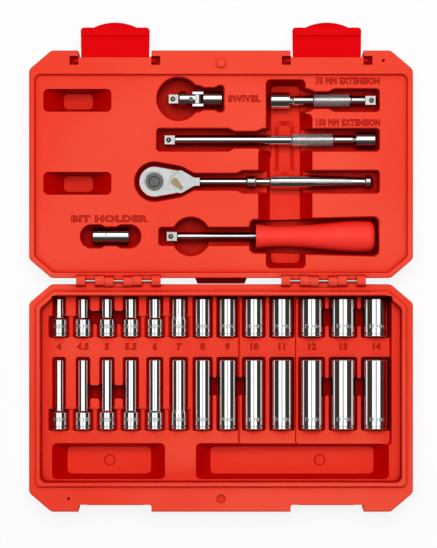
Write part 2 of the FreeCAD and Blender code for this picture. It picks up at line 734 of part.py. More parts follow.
def latch_room(x):
    """Cutters in the lid for one latch: swing room, stub bores and the two windows."""
    y = lid_y(PIVOT_V)
    half = LATCH_WIDTH / 2 + LATCH_PLAY
    reach = math.hypot(LATCH_ROOT, LATCH_OFFSET + LATCH_THICKNESS) + LATCH_GAP
    back = y - PIVOT_RADIUS - LATCH_GAP
    front = lid_y(FRONT_EDGE + 1)
    room = box(x - half, x + half, back, front, PIVOT_Z - reach, HALF_HEIGHT - FLANGE_THICKNESS)
    bore_half = half + PIVOT_WALL + WINDOW_SIZE
    bore = rod_x(x - bore_half, x + bore_half, y, PIVOT_Z, STUB_RADIUS + RUNNING_FIT)
    cuts = [room, bore, front_notch(x, lid_y)]
    for side in (-1, 1):
        near = x + side * (half + PIVOT_WALL)
        far = near + side * WINDOW_SIZE
        size = WINDOW_SIZE / 2
        floor = PIVOT_Z - STUB_RADIUS - LATCH_PLAY
        cuts.append(sunk(min(near, far), max(near, far), y - size, y + size, floor, ABOVE, 0.6))
    return cuts


def head_outline(grow, z):
    """Teardrop of the ratchet head seen from its face, blended into the shank."""
    x = RATCHET_X
    y = lid_y(RATCHET_V)
    radius = HEAD_RADIUS + grow
    shoulder = HEAD_SHOULDER_HALF + grow
    neck = SHANK_HALF + grow
    # the sides are tangent to the head circle, which also rounds the two far corners
    reach = math.hypot(HEAD_SHOULDER_X, shoulder)
    lean = math.atan2(shoulder, HEAD_SHOULDER_X) + math.acos(radius / reach)
    far = radius * (1 + math.cos(lean)) / math.sin(lean)
    lower = [
        (x - radius, y - far, radius),
        (x + HEAD_SHOULDER_X, y - shoulder, SHOULDER_ROUND + grow),
        (x + HEAD_END_X, y - neck, NECK_BLEND - grow),
        (x + HEAD_END_X + NECK_TAIL + grow, y - neck, 0),
    ]
    upper = [(px, 2 * y - py, round_by) for px, py, round_by in reversed(lower)]
    return rounded(lower + upper, z)


def handle_profile():
    """(x, radius) along the round part of the ratchet's shank and handle."""
    collar = COLLAR_X + COLLAR_LENGTH
    tail = HANDLE_X + HANDLE_LENGTH
    end = tail + KNOB_LENGTH
    return [
        (HEAD_END_X - 3.0, SHANK_HALF),
        (COLLAR_X - 1.0, SHANK_HALF),
        (COLLAR_X, COLLAR_RADIUS),
        (collar, COLLAR_RADIUS),
        (collar + 0.8, LOWER_NECK_RADIUS),
        (HANDLE_X - 0.8, LOWER_NECK_RADIUS),
        (HANDLE_X, HANDLE_RADIUS - 0.4),
        (HANDLE_X + 6.0, HANDLE_RADIUS),
        (HANDLE_X + HANDLE_LENGTH * 0.45, HANDLE_RADIUS),
        (HANDLE_X + HANDLE_LENGTH * 0.75, (HANDLE_RADIUS + HANDLE_TAIL_RADIUS) / 2),
        (tail, HANDLE_TAIL_RADIUS),
        (tail + 0.8, KNOB_RADIUS),
        (end - 1.8, KNOB_RADIUS),
        (end, KNOB_RADIUS - 1.8),
    ]


def ratchet_body():
    x = RATCHET_X
    y = lid_y(RATCHET_V)
    top = RATCHET_FACE_Z
    bottom = top - HEAD_HEIGHT
    head = prism(head_outline(0, bottom), HEAD_HEIGHT)
    edges = [e for e in head.Edges if abs(e.BoundBox.ZMax - e.BoundBox.ZMin) < 1e-6]
    head = head.makeChamfer(0.8, edges)
    bar = turned(handle_profile(), V(x, y, HEAD_MID_Z), X_AXIS, Z_AXIS)
    body = head.fuse(bar)
    cavity_top = top - TOP_WALL
    plate_top = bottom + PLATE_THICKNESS
    cuts = [rod_z(x, y, top - COUNTERBORE_DEPTH, top + 1, COUNTERBORE_RADIUS)]
    cuts.append(rod_z(x, y, cavity_top - 1, top, HUB_RADIUS + RUNNING_FIT))
    cuts.append(rod_z(x, y, bottom - 1, cavity_top, GEAR_TIP + GEAR_PLAY))
    cuts.append(prism(pawl_cavity(bottom - 1), cavity_top - bottom + 1))
    cuts.append(rod_z(x + LEVER_X, y, bottom - 1, cavity_top, PAWL_HUB + 2 * GEAR_PLAY))
    cuts.append(prism(head_outline(-PLATE_EDGE, bottom - 1), PLATE_THICKNESS + 1))
    cuts.append(rod_z(x + LEVER_X, y, cavity_top - 1, top + 1, LEVER_SHAFT_RADIUS + RUNNING_FIT))
    cuts.append(deck(top))
    for side in (-1, 1):
        cuts.append(rod_z(x + SCREW_AT[0], y + side * SCREW_AT[1], plate_top - 1, plate_top + SCREW_LENGTH, SCREW_RADIUS))
    return body.cut(cuts)


def pawl_cavity(z):
    x = RATCHET_X
    y = lid_y(RATCHET_V)
    half = PAWL_HUB + 2 * GEAR_PLAY
    corners = [(PAWL_CAVITY_X, -PAWL_CAVITY_HALF), (LEVER_X, -half), (LEVER_X, half), (PAWL_CAVITY_X, PAWL_CAVITY_HALF)]
    points = [V(x + a, y + b, z) for a, b in corners]
    return Part.makePolygon(points + points[:1])


def deck(top):
    """Cutter for the lower level of the face that the lever swings on."""
    x = RATCHET_X
    y = lid_y(RATCHET_V)
    far = HEAD_END_X + HEAD_RADIUS
    spread = (far - DECK_APEX_X) * math.tan(math.radians(DECK_HALF_ANGLE))
    points = [V(x + DECK_APEX_X, y, 0), V(x + far, y - spread, 0), V(x + far, y + spread, 0)]
    fan = prism(Part.makePolygon(points + points[:1]), DECK_DEPTH + 1)
    boss = rod_z(x + LEVER_X, y, 0, DECK_DEPTH + 1, LEVER_RADIUS + GEAR_PLAY)
    tool = fan.fuse(boss)
    tool.translate(V(0, 0, top - DECK_DEPTH))
    reach = SHANK_HALF + HEAD_RADIUS
    keep = box(x + DECK_START_X, x + far + 1, y - reach, y + reach, top - DECK_DEPTH, top + 2)
    return tool.common(keep)


def ratchet_cover_plate():
    x = RATCHET_X
    y = lid_y(RATCHET_V)
    bottom = RATCHET_FACE_Z - HEAD_HEIGHT
    plate = prism(head_outline(-PLATE_EDGE - RUNNING_FIT, bottom), PLATE_THICKNESS)
    cuts = [rod_z(x, y, bottom - 1, bottom + PLATE_THICKNESS + 1, LOWER_HUB_RADIUS + RUNNING_FIT)]
    for side in (-1, 1):
        place = (x + SCREW_AT[0], y + side * SCREW_AT[1])
        cuts.append(rod_z(*place, bottom - 1, bottom + PLATE_THICKNESS + 1, SCREW_RADIUS))
        cuts.append(rod_z(*place, bottom - 1, bottom + PLATE_THICKNESS / 2, SCREW_HEAD_RADIUS))
    return plate.cut(cuts)


def ratchet_cover_screws():
    bottom = RATCHET_FACE_Z - HEAD_HEIGHT
    screws = []
    for side in (-1, 1):
        place = (RATCHET_X + SCREW_AT[0], lid_y(RATCHET_V) + side * SCREW_AT[1])
        head = rod_z(*place, bottom, bottom + PLATE_THICKNESS / 2, SCREW_HEAD_RADIUS)
        screws.append(head.fuse(rod_z(*place, bottom, bottom + SCREW_LENGTH, SCREW_RADIUS)).removeSplitter())
    return Part.makeCompound(screws)


def gear_blank(grow, z0, z1):
    """Ratchet wheel with pointed teeth."""
    corners = []
    for i in range(2 * GEAR_TEETH):
        radius = GEAR_TIP + grow - (GEAR_DEPTH if i % 2 else 0.0)
        turn = math.pi * i / GEAR_TEETH
        corners.append(V(RATCHET_X + radius * math.cos(turn), lid_y(RATCHET_V) + radius * math.sin(turn), z0))
    return Part.Face(Part.makePolygon(corners + corners[:1])).extrude(V(0, 0, z1 - z0))


def ratchet_drive_gear():
    x = RATCHET_X
    y = lid_y(RATCHET_V)
    top = RATCHET_FACE_Z
    bottom = top - HEAD_HEIGHT
    wheel = gear_blank(0, bottom + PLATE_THICKNESS + GEAR_PLAY, top - TOP_WALL - GEAR_PLAY)
    hub = rod_z(x, y, bottom, top - HUB_DROP, HUB_RADIUS)
    foot = rod_z(x, y, bottom, bottom + PLATE_THICKNESS + GEAR_PLAY, HUB_RADIUS)
    collar = rod_z(x, y, bottom, bottom + HEAD_HEIGHT / 2, LOWER_HUB_RADIUS)
    upper = hub.cut(foot)
    square = male_square(V(x, y, bottom), V(0, 0, -1), MALE_LENGTH)
    body = wheel.fuse([upper, collar, square])
    well = rod_z(x, y, top - HUB_DROP - BUTTON_DROP - BUTTON_HEIGHT - BUTTON_TRAVEL - GEAR_PLAY, top, BUTTON_RADIUS + RUNNING_FIT)
    way = rod_z(x, y, bottom - MALE_LENGTH + 1, top, PLUNGER_RADIUS + GEAR_PLAY)
    return body.cut([well, way, ball_hole(ratchet_ball_place(), X_AXIS)]).removeSplitter()


def ratchet_ball_place():
    """Centre of the detent ball in the ratchet's square."""
    reach = SQUARE / 2 + BALL_PROUD - BALL_RADIUS
    bottom = RATCHET_FACE_Z - HEAD_HEIGHT
    return V(RATCHET_X + reach, lid_y(RATCHET_V), bottom - MALE_LENGTH + BALL_FROM_TIP)


def ratchet_release_button():
    x = RATCHET_X
    y = lid_y(RATCHET_V)
    top = RATCHET_FACE_Z - HUB_DROP - BUTTON_DROP
    cap = rod_z(x, y, top - BUTTON_HEIGHT, top, BUTTON_RADIUS)
    rim = [e for e in cap.Edges if e.BoundBox.ZMin > top - 1e-4]
    cap = cap.makeChamfer(0.4, rim)
    return cap.fuse(rod_z(x, y, top - PLUNGER_LENGTH, top - 1, PLUNGER_RADIUS)).removeSplitter()


def ratchet_reverse_lever():
    x = RATCHET_X + LEVER_X
    y = lid_y(RATCHET_V)
    floor = RATCHET_FACE_Z - DECK_DEPTH + RUNNING_FIT
    root = LEVER_RADIUS * 0.8
    tip = x + LEVER_LENGTH
    corners = [(x, y - root, 0), (tip, y - LEVER_TIP_HALF, LEVER_TIP_ROUND)]
    corners += [(tip, y + LEVER_TIP_HALF, LEVER_TIP_ROUND), (x, y + root, 0)]
    blade = prism(rounded(corners, floor), LEVER_HEIGHT)
    disc = rod_z(x, y, floor, floor + LEVER_HEIGHT, LEVER_RADIUS)
    shaft = rod_z(x, y, RATCHET_FACE_Z - HEAD_HEIGHT + PLATE_THICKNESS + GEAR_PLAY, floor + 1, LEVER_SHAFT_RADIUS)
    body = blade.fuse([disc, shaft]).removeSplitter()
    body.rotate(V(x, y, 0), Z_AXIS, LEVER_ANGLE)
    return body


def ratchet_pawl():
    """Double-ended pawl, rocked so that its far end sits in the gear's teeth."""
    cx = RATCHET_X
    x = cx + LEVER_X
    y = lid_y(RATCHET_V)
    z0 = RATCHET_FACE_Z - HEAD_HEIGHT + PLATE_THICKNESS + GEAR_PLAY
    z1 = RATCHET_FACE_Z - TOP_WALL - GEAR_PLAY
    points = [V(cx + PAWL_TIP_X, y - PAWL_TIP_HALF, z0), V(x, y - PAWL_HUB, z0)]
    points += [V(x, y + PAWL_HUB, z0), V(cx + PAWL_TIP_X, y + PAWL_TIP_HALF, z0)]
    wedge = prism(Part.makePolygon(points + points[:1]), z1 - z0).fuse(rod_z(x, y, z0, z1, PAWL_HUB))
    cuts = [rod_z(cx, y, z0 - 1, z1 + 1, GEAR_TIP + GEAR_PLAY)]
    for side in (-1, 1):
        meshed = gear_blank(0.2, z0 - 1, z1 + 1)
        meshed.rotate(V(x, y, 0), Z_AXIS, side * PAWL_SWING)
        cuts.append(meshed)
    cuts.append(rod_z(x, y, z0 - 1, z1 + 1, LEVER_SHAFT_RADIUS + RUNNING_FIT))
    pawl = wedge.cut(cuts)
    pawl.rotate(V(x, y, 0), Z_AXIS, PAWL_SWING)
    return pawl


def male_square(start, direction, length):
    """Drive square with a chamfered tip, standing on start along direction."""
    half = SQUARE / 2
    tip = half - 0.7
    rise = 0.9
    sides = [(X_AXIS, Y_AXIS), (Y_AXIS, Z_AXIS), (Z_AXIS, X_AXIS)]
    across, up = [p for p in sides if abs(p[0].dot(direction)) + abs(p[1].dot(direction)) < 1e-6][0]

    def ring(at, size):
        middle = start + direction * at
        signs = ((-1, -1), (1, -1), (1, 1), (-1, 1), (-1, -1))
        return Part.makePolygon([middle + across * (a * size) + up * (b * size) for a, b in signs])

    shaft = Part.Face(ring(-0.5, half)).extrude(direction * (length - rise + 0.5))
    cap = Part.makeLoft([ring(length - rise, half), ring(length, tip)], True, True)
    return shaft.fuse(cap).removeSplitter()


def ball_hole(centre, outward):
    """Cutter for a detent ball's well, open on the square's face."""
    depth = BALL_TRAVEL + BALL_RADIUS + BALL_FIT
    start = centre - outward * depth
    return Part.makeCylinder(BALL_RADIUS + BALL_FIT, depth + SQUARE, start, outward)


def ball_place(tip, direction):
    """Centre of the ball in a square that lies along direction with its ball facing up."""
    middle = tip - direction * BALL_FROM_TIP
    return middle + Z_AXIS * (SQUARE / 2 + BALL_PROUD - BALL_RADIUS)


def ball(centre):
    return Part.makeSphere(BALL_RADIUS, centre)


def extension(female_x, direction, v, length, knurl):
    """Extension bar from its female end, along direction."""
    start = V(female_x, lid_y(v), TOOL_Z)
    axis = X_AXIS * direction
    big = DRIVE_OD / 2
    neck = length - MALE_LENGTH
    profile = [
        (0, big - SOCKET_CHAMFER),
        (SOCKET_CHAMFER, big),
        (FEMALE_LENGTH, big),
        (FEMALE_LENGTH + 1.2, BAR_RADIUS - 0.6),
        (FEMALE_LENGTH + 3.0, BAR_RADIUS),
        (knurl[0] - 1.0, BAR_RADIUS),
        (knurl[0], KNURL_RADIUS),
        (knurl[1], KNURL_RADIUS),
        (knurl[1] + 1.0, BAR_RADIUS),
        (neck - 1.0, BAR_RADIUS),
        (neck, MALE_NECK),
    ]
    body = turned(profile, start, axis, Z_AXIS)
    tip = start + axis * length
    body = body.fuse(male_square(start + axis * neck, axis, MALE_LENGTH))
    half = (SQUARE + SQUARE_PLAY) / 2
    y = start.y
    hole = box(female_x - direction, female_x + direction * SQUARE_DEPTH, y - half, y + half, TOOL_Z - half, TOOL_Z + half)
    return body.cut([hole, ball_hole(ball_place(tip, axis), Z_AXIS)]), ball(ball_place(tip, axis))


def swivel_socket_end():
    """Female end of the universal joint with its two side ears."""
    y = lid_y(SWIVEL_V)
    z = TOOL_Z
    radius = SWIVEL_OD / 2
    start = SWIVEL_SOCKET_X - SWIVEL_SOCKET_LENGTH
    tip = SWIVEL_PITCH_X - SWIVEL_EAR
    edge = SOCKET_CHAMFER
    outline = [(0, radius), (SWIVEL_SOCKET_X - tip - edge, radius), (SWIVEL_SOCKET_X - tip, radius - edge)]
    body = turned(outline, V(tip, y, z), X_AXIS, Z_AXIS)
    inner = BLOCK_HALF + BLOCK_PLAY
    reach = radius + 1
    cuts = [box(tip - 1, start, y - inner, y + inner, z - reach, z + reach)]
    for side in (-1, 1):
        cuts.append(box(tip - 1, start, y - reach, y + reach, z + side * EAR_HALF, z + side * reach))
    half = (SQUARE + SQUARE_PLAY) / 2
    cuts.append(box(SWIVEL_SOCKET_X - SQUARE_DEPTH, SWIVEL_SOCKET_X + 1, y - half, y + half, z - half, z + half))
    cuts.append(rod_y(SWIVEL_PITCH_X, y - reach, y + reach, z, CROSS_PIN_RADIUS + RUNNING_FIT))
    return body.cut(cuts)


def swivel_block():
    """Block between the two yokes, rounded about each pin."""
    y = lid_y(SWIVEL_V)
    z = TOOL_Z
    half = BLOCK_HALF
    core = box(SWIVEL_YAW_X, SWIVEL_PITCH_X, y - half, y + half, z - half, z + half)
    yaw_end = rod_z(SWIVEL_YAW_X, y, z - half, z + half, half)
    pitch_end = rod_y(SWIVEL_PITCH_X, y - half, y + half, z, half)
    body = core.fuse([yaw_end, pitch_end])
    bores = [rod_z(SWIVEL_YAW_X, y, z - half - 1, z + half + 1, CROSS_PIN_RADIUS)]
    bores.append(rod_y(SWIVEL_PITCH_X, y - half - 1, y + half + 1, z, CROSS_PIN_RADIUS))
    return body.cut(bores).removeSplitter()


def swivel_pins():
    y = lid_y(SWIVEL_V)
    reach = SWIVEL_OD / 2 - 0.6
    yaw = rod_z(SWIVEL_YAW_X, y, TOOL_Z - reach, TOOL_Z + reach, CROSS_PIN_RADIUS)
    pitch = rod_y(SWIVEL_PITCH_X, y - reach, y + reach, TOOL_Z, CROSS_PIN_RADIUS)
    return Part.makeCompound([yaw, pitch])


def swivel_drive_end():
    """Male end of the universal joint with its upper and lower ears."""
    y = lid_y(SWIVEL_V)
    z = TOOL_Z
    radius = SWIVEL_OD / 2 - 0.2
    tip = SWIVEL_YAW_X + EAR_HALF
    fork = SWIVEL_YAW_X - BLOCK_HALF - BLOCK_PLAY
    edge = 1.2
    length = tip - SWIVEL_DRIVE_X
    outline = [(0, radius - edge), (edge, radius), (length, radius)]
    body = turned(outline, V(SWIVEL_DRIVE_X, y, z), X_AXIS, Z_AXIS)
    inner = BLOCK_HALF + BLOCK_PLAY
    reach = radius + 1
    cuts = [box(fork, tip + 1, y - reach, y + reach, z - inner, z + inner)]
    for side in (-1, 1):
        cuts.append(box(fork, tip + 1, y + side * EAR_HALF, y + side * reach, z - reach, z + reach))
    cuts.append(rod_z(SWIVEL_YAW_X, y, z - reach, z + reach, CROSS_PIN_RADIUS + RUNNING_FIT))
    start = V(SWIVEL_DRIVE_X, y, z)
    square = male_square(start, V(-1, 0, 0), MALE_LENGTH)
    place = ball_place(start + V(-MALE_LENGTH, 0, 0), V(-1, 0, 0))
    return body.cut(cuts).fuse(square).cut(ball_hole(place, Z_AXIS)), ball(place)


def hexagon_x(across_flats, x0, x1, y, z):
    radius = across_flats / math.sqrt(3)
    turns = [math.radians(60 * i + 30) for i in range(7)]
    corners = [V(x0, y + radius * math.cos(t), z + radius * math.sin(t)) for t in turns]
    return Part.Face(Part.makePolygon(corners)).extrude(V(x1 - x0, 0, 0))


def bit_adapter():
    """Square-to-hex adapter with a ring groove in its bit socket."""
    y = lid_y(ADAPTER_V)
    z = TOOL_Z
    radius = ADAPTER_OD / 2
    edge = SOCKET_CHAMFER
    groove = ADAPTER_GROOVE_AT
    half_groove = ADAPTER_GROOVE / 2
    outline = [
        (0, radius - edge),
        (edge, radius),
        (groove - half_groove, radius),
        (groove - half_groove, radius - RING_DEPTH),
        (groove + half_groove, radius - RING_DEPTH),
        (groove + half_groove, radius),
        (ADAPTER_LENGTH - edge, radius),
        (ADAPTER_LENGTH, radius - edge),
    ]
    body = turned(outline, V(ADAPTER_X, y, z), X_AXIS, Z_AXIS)
    half = (SQUARE + SQUARE_PLAY) / 2
    far = ADAPTER_X + ADAPTER_LENGTH
    square = box(far - SQUARE_DEPTH, far + 1, y - half, y + half, z - half, z + half)
    bit = hexagon_x(BIT_HEX + HEX_PLAY, ADAPTER_X - 1, ADAPTER_X + BIT_DEPTH, y, z)
    return body.cut([square, bit])


def bit_adapter_ring():
    """Spring ring lying in the adapter's outer groove."""
    y = lid_y(ADAPTER_V)
    radius = ADAPTER_OD / 2 - 0.15
    inner = ADAPTER_OD / 2 - RING_DEPTH + 0.02
    half = ADAPTER_GROOVE / 2 - RUNNING_FIT
    middle = ADAPTER_X + ADAPTER_GROOVE_AT
    outer = rod_x(middle - half, middle + half, y, TOOL_Z, radius)
    return outer.cut(rod_x(middle - 1, middle + 1, y, TOOL_Z, inner))


def spinner_grip():
    """Moulded grip: collar, waist, full palm swell and rounded butt."""
    y = lid_y(SPINNER_V)
    z = SPINNER_Z
    end = GRIP_X + GRIP_LENGTH
    collar = V(GRIP_X, y, z + GRIP_COLLAR_RADIUS)
    waist = V(GRIP_X + GRIP_WAIST_AT, y, z + GRIP_WAIST_RADIUS)
    swell = V(GRIP_X + GRIP_FULL_AT, y, z + GRIP_RADIUS)
    corner = V(end - GRIP_END_ROUND, y, z + GRIP_RADIUS - 0.2)
    butt = V(end, y, z + GRIP_RADIUS - GRIP_END_ROUND)
    curve = Part.BSplineCurve()
    curve.interpolate([collar, waist, swell, corner])
    bend = GRIP_END_ROUND * (1 - math.sqrt(0.5))
    turn = Part.Arc(corner, V(end - bend, y, z + GRIP_RADIUS - bend - 0.1), butt).toShape()
    base = Part.makePolygon([butt, V(end, y, z), V(GRIP_X, y, z), collar])
    face = Part.Face(Part.Wire([curve.toShape(), turn] + base.Edges))
    body = face.revolve(V(GRIP_X, y, z), X_AXIS, 360)
    bore = rod_x(GRIP_X - 1, GRIP_X + SHANK_IN + RUNNING_FIT, y, z, SHANK_RADIUS)
    return body.cut(bore)


def spinner_shank():
    y = lid_y(SPINNER_V)
    z = SPINNER_Z
    tip = GRIP_X - SHANK_OUT
    neck = tip + MALE_LENGTH
    profile = [(0, MALE_NECK), (1.2, SHANK_RADIUS), (GRIP_X + SHANK_IN - neck, SHANK_RADIUS)]
    body = turned(profile, V(neck, y, z), X_AXIS, Z_AXIS)
    body = body.fuse(male_square(V(neck, y, z), V(-1, 0, 0), MALE_LENGTH))
    place = ball_place(V(tip, y, z), V(-1, 0, 0))
    return body.cut(ball_hole(place, Z_AXIS)), ball(place)


def waisted(x0, x1, v, wide, narrow, waist0, waist1, floor, end_round):
    """Cutter for a slot that narrows between waist0 and waist1 to grip a tool."""
    y = lid_y(v)
    blend = wide - narrow

    def outline(grow, z):
        ends = end_round + grow
        bends = TOOL_POCKET_ROUND
        stations = [(x0 - grow, wide, ends), (waist0 - blend, wide, bends), (waist0, narrow, bends)]
        stations += [(waist1, narrow, bends), (waist1 + blend, wide, bends), (x1 + grow, wide, ends)]
        near = [(x, y - w / 2 - grow, r) for x, w, r in stations]
        far = [(x, y + w / 2 + grow, r) for x, w, r in reversed(stations)]
        return rounded(near + far, z)

    return flared(outline, floor, PANEL_Z, MOUTH_CHAMFER)


def grip_outline(grow, z):
    """Plan of the pocket that the spinner's grip lies in."""
    y = lid_y(SPINNER_V)
    left = GRIP_X - GRIP_POCKET_PLAY * 2 - grow
    right = GRIP_X + GRIP_LENGTH + GRIP_POCKET_PLAY + grow
    near = GRIP_POCKET_LEFT / 2 + grow
    far = GRIP_POCKET_RIGHT / 2 + grow
    corners = [(left, y - near), (right, y - far), (right, y + far), (left, y + near)]
    return rounded([(a, b, BIN_ROUND) for a, b in corners], z)


def head_pocket(grow, z):
    return head_outline(HEAD_POCKET_PLAY + grow, z)


def tool_pockets():
    """Every cutter for the tools that lie in the lid."""
    cuts = []
    bar_floor = TOOL_Z - DRIVE_OD / 2 - POCKET_PLAY
    for v in LID_BIN_V:
        y = lid_y(v)
        x0 = LID_BIN_X - LID_BIN_LENGTH / 2
        cuts.append(tapered(x0, x0 + LID_BIN_LENGTH, y - LID_BIN_WIDTH / 2, y + LID_BIN_WIDTH / 2, LID_BIN_FLOOR,
                            PANEL_Z, LID_BIN_SLOPE_X, LID_BIN_SLOPE_Y, BIN_ROUND))
    # finger trench across the bars, with a shallow groove in its floor
    y0 = lid_y(TRENCH_V[0])
    y1 = lid_y(TRENCH_V[1])
    cuts.append(tapered(*TRENCH_END_X, y0, y1, TRENCH_FLOOR, PANEL_Z, TRENCH_END_SLOPE, TRENCH_END_SLOPE, BIN_ROUND))
    for x0, reach in ((TRENCH_X[0], TRENCH_WIDE_V), (TRENCH_END_X[0], TRENCH_RIGHT_V)):
        cuts.append(tapered(x0, TRENCH_X[1], lid_y(reach[0]), lid_y(reach[1]), TRENCH_FLOOR, PANEL_Z,
                            TRENCH_SLOPE, TRENCH_END_SLOPE, BIN_ROUND))
    cuts.append(tapered(*GROOVE_X, lid_y(GROOVE_V[0]), lid_y(GROOVE_V[1]), TRENCH_FLOOR - GROOVE_SINK, TRENCH_FLOOR,
                        GROOVE_SLOPE, GROOVE_SLOPE, BIN_ROUND))
    # extension bars
    waist = SHORT_FEMALE_X + SHORT_KNURL[0]
    cuts.append(waisted(SHORT_FEMALE_X - POCKET_END, SLOT_RIGHT, SHORT_V, WIDE_SLOT, NARROW_SLOT,
                        waist, waist + SHORT_WAIST, bar_floor, TOOL_POCKET_ROUND))
    long_tip = LONG_FEMALE_X - LONG_LENGTH
    waist = long_tip + LONG_WAIST_AT
    cuts.append(waisted(long_tip - SLOT_END * 2, SLOT_RIGHT, LONG_V, WIDE_SLOT, NARROW_SLOT,
                        waist, waist + LONG_WAIST, bar_floor, TOOL_POCKET_ROUND))
    # universal joint
    y = lid_y(SWIVEL_V)
    cuts.append(flared_round(FINGER_HOLE_X, y, FINGER_FLOOR, PANEL_Z, FINGER_HOLE_RADIUS, MOUTH_CHAMFER))
    cuts.append(waisted(FINGER_HOLE_X, SWIVEL_SOCKET_X + POCKET_END, SWIVEL_V, SWIVEL_SLOT, SWIVEL_WAIST,
                        *SWIVEL_WAIST_X, TOOL_Z - SWIVEL_OD / 2 - POCKET_PLAY, TOOL_POCKET_ROUND))
    # bit adapter
    middle = ADAPTER_X + ADAPTER_LENGTH / 2
    reach = ADAPTER_LENGTH / 2 + ADAPTER_POCKET_END
    cuts.append(waisted(middle - reach, middle + reach, ADAPTER_V, ADAPTER_POCKET_WIDTH, ADAPTER_WAIST,
                        middle - ADAPTER_WAIST_HALF, middle + ADAPTER_WAIST_HALF,
                        TOOL_Z - ADAPTER_OD / 2 - POCKET_PLAY, ADAPTER_POCKET_WIDTH / 2 - POCKET_PLAY))
    # spinner handle
    y = lid_y(SPINNER_V)
    cuts.append(flared_round(SPINNER_HOLE_X, y, FINGER_FLOOR, PANEL_Z, SPINNER_HOLE_RADIUS, MOUTH_CHAMFER))
    shank_tip = GRIP_X - SHANK_OUT - SLOT_END * 2
    shank_floor = SPINNER_Z - SQUARE / 2 - POCKET_PLAY

    def shank_slot(grow, z):
        half = SHANK_SLOT / 2 + grow
        return rectangle(shank_tip - grow, GRIP_X, y - half, y + half, z, TOOL_POCKET_ROUND)

    cuts.append(flared(shank_slot, shank_floor, PANEL_Z, MOUTH_CHAMFER))
    cuts.append(flared(grip_outline, GRIP_FLOOR, PANEL_Z, MOUTH_CHAMFER))
    # ratchet
    y = lid_y(RATCHET_V)
    head_floor = RATCHET_FACE_Z - HEAD_HEIGHT - POCKET_PLAY
    cuts.append(flared(head_pocket, head_floor, PANEL_Z, MOUTH_CHAMFER))
    cuts.append(rod_z(RATCHET_X, y, head_floor - MALE_LENGTH - POCKET_PLAY, ABOVE, SQUARE))
    handle_floor = HEAD_MID_Z - HANDLE_RADIUS - POCKET_PLAY
    handle_end = RATCHET_X + HANDLE_X + HANDLE_LENGTH + KNOB_LENGTH + HANDLE_SLOT_END
    cuts.append(waisted(RATCHET_X + HEAD_SHOULDER_X, handle_end, RATCHET_V, WIDE_SLOT, NARROW_SLOT,
                        RATCHET_X + HEAD_END_X, RATCHET_X + COLLAR_X - WIDE_SLOT / 2, handle_floor, TOOL_POCKET_ROUND))
    return cuts


def case_lid():
    body = half_block(lid_y)
    hinges = [knuckle(side * HINGE_X) for side in (-1, 1)]
    body = body.fuse(hinges + [spine_foot()])
    edge = RIM_CHAMFER
    sides = [step_outline(STEP_INSET, FRONT_FLANGE, z, lid_y) for z in (PANEL_Z, HALF_HEIGHT - edge)]
    mouth = [step_outline(STEP_INSET - edge, FRONT_FLANGE - edge, z, lid_y) for z in (HALF_HEIGHT, ABOVE)]
    cuts = [loft(sides + mouth), needle_hole(LID_NEEDLE, lid_y)]
    cuts += tool_pockets()
    for side in (-1, 1):
        cuts += latch_room(side * LATCH_X)
        cuts += [knuckle_room(side * HINGE_X + place * KNUCKLE_LENGTH) for place in (-1, 1)]
        cuts.append(knuckle_window(side * HINGE_X))
        cuts.append(pin_bore(side * HINGE_X))
    body = body.cut(cuts)
    peg_y = lid_y(FRONT_EDGE - PEG_SETBACK)
    return body.fuse(rod_z(0, peg_y, HALF_HEIGHT - 1, HALF_HEIGHT + PEG_HEIGHT, PEG_RADIUS))


def spine_foot():
    """Foot on the lid's back wall that the closed case stands on."""
    wide = SPINE_FOOT_WIDTH / 2
    slim = wide - SPINE_FOOT_TAPER
    inner = lid_y(BACK_WALL + WALL_DRAFT + 1)
    outer = lid_y(-BACK_WALL + RIM_GAP)
    points = [V(-wide, inner, 0), V(wide, inner, 0), V(slim, outer, 0), V(-slim, outer, 0)]
    foot = prism(Part.makePolygon(points + points[:1]), SPINE_FOOT_HIGH - SPINE_FOOT_LOW)
    foot.translate(V(0, 0, SPINE_FOOT_LOW))
    return foot


def size_name(size):
    return str(size).replace(".", "_")


def parts():
    made = {"case_base": case_base(), "case_lid": case_lid()}
    for name, side in (("left", -1), ("right", 1)):
        made[name + "_latch"] = latch(side * LATCH_X)
        made[name + "_hinge_pin"] = hinge_pin(side * HINGE_X)
    made["ratchet_body"] = ratchet_body()
    made["ratchet_cover_plate"] = ratchet_cover_plate()
    made["ratchet_cover_screws"] = ratchet_cover_screws()
    made["ratchet_drive_gear"] = ratchet_drive_gear()
    made["ratchet_release_button"] = ratchet_release_button()
    made["ratchet_detent_ball"] = ball(ratchet_ball_place())
    made["ratchet_reverse_lever"] = ratchet_reverse_lever()
    made["ratchet_pawl"] = ratchet_pawl()
    made["short_extension"], made["short_extension_ball"] = extension(SHORT_FEMALE_X, 1, SHORT_V, SHORT_LENGTH, SHORT_KNURL)
    made["long_extension"], made["long_extension_ball"] = extension(LONG_FEMALE_X, -1, LONG_V, LONG_LENGTH, LONG_KNURL)
    made["swivel_socket_end"] = swivel_socket_end()
    made["swivel_block"] = swivel_block()
    made["swivel_pins"] = swivel_pins()
    made["swivel_drive_end"], made["swivel_ball"] = swivel_drive_end()
    made["bit_adapter"] = bit_adapter()
    made["bit_adapter_ring"] = bit_adapter_ring()
    made["spinner_grip"] = spinner_grip()
    made["spinner_shank"], made["spinner_ball"] = spinner_shank()
    for size, x in zip(SIZES, SOCKET_X):
        name = size_name(size)
        made["shallow_socket_" + name] = socket(size, x, SHALLOW_ROW, SHALLOW_LENGTH, SHALLOW_HEX_DEPTH)
        made["deep_socket_" + name] = socket(size, x, DEEP_ROW, DEEP_LENGTH, DEEP_HEX_DEPTH)
    return made


def main():
    os.makedirs("parts", exist_ok=True)
    for name, shape in parts().items():
        shape.exportStep("parts/" + name + ".step")
        print(name, len(shape.Solids), shape.isValid(), round(shape.Volume, 1))


main()
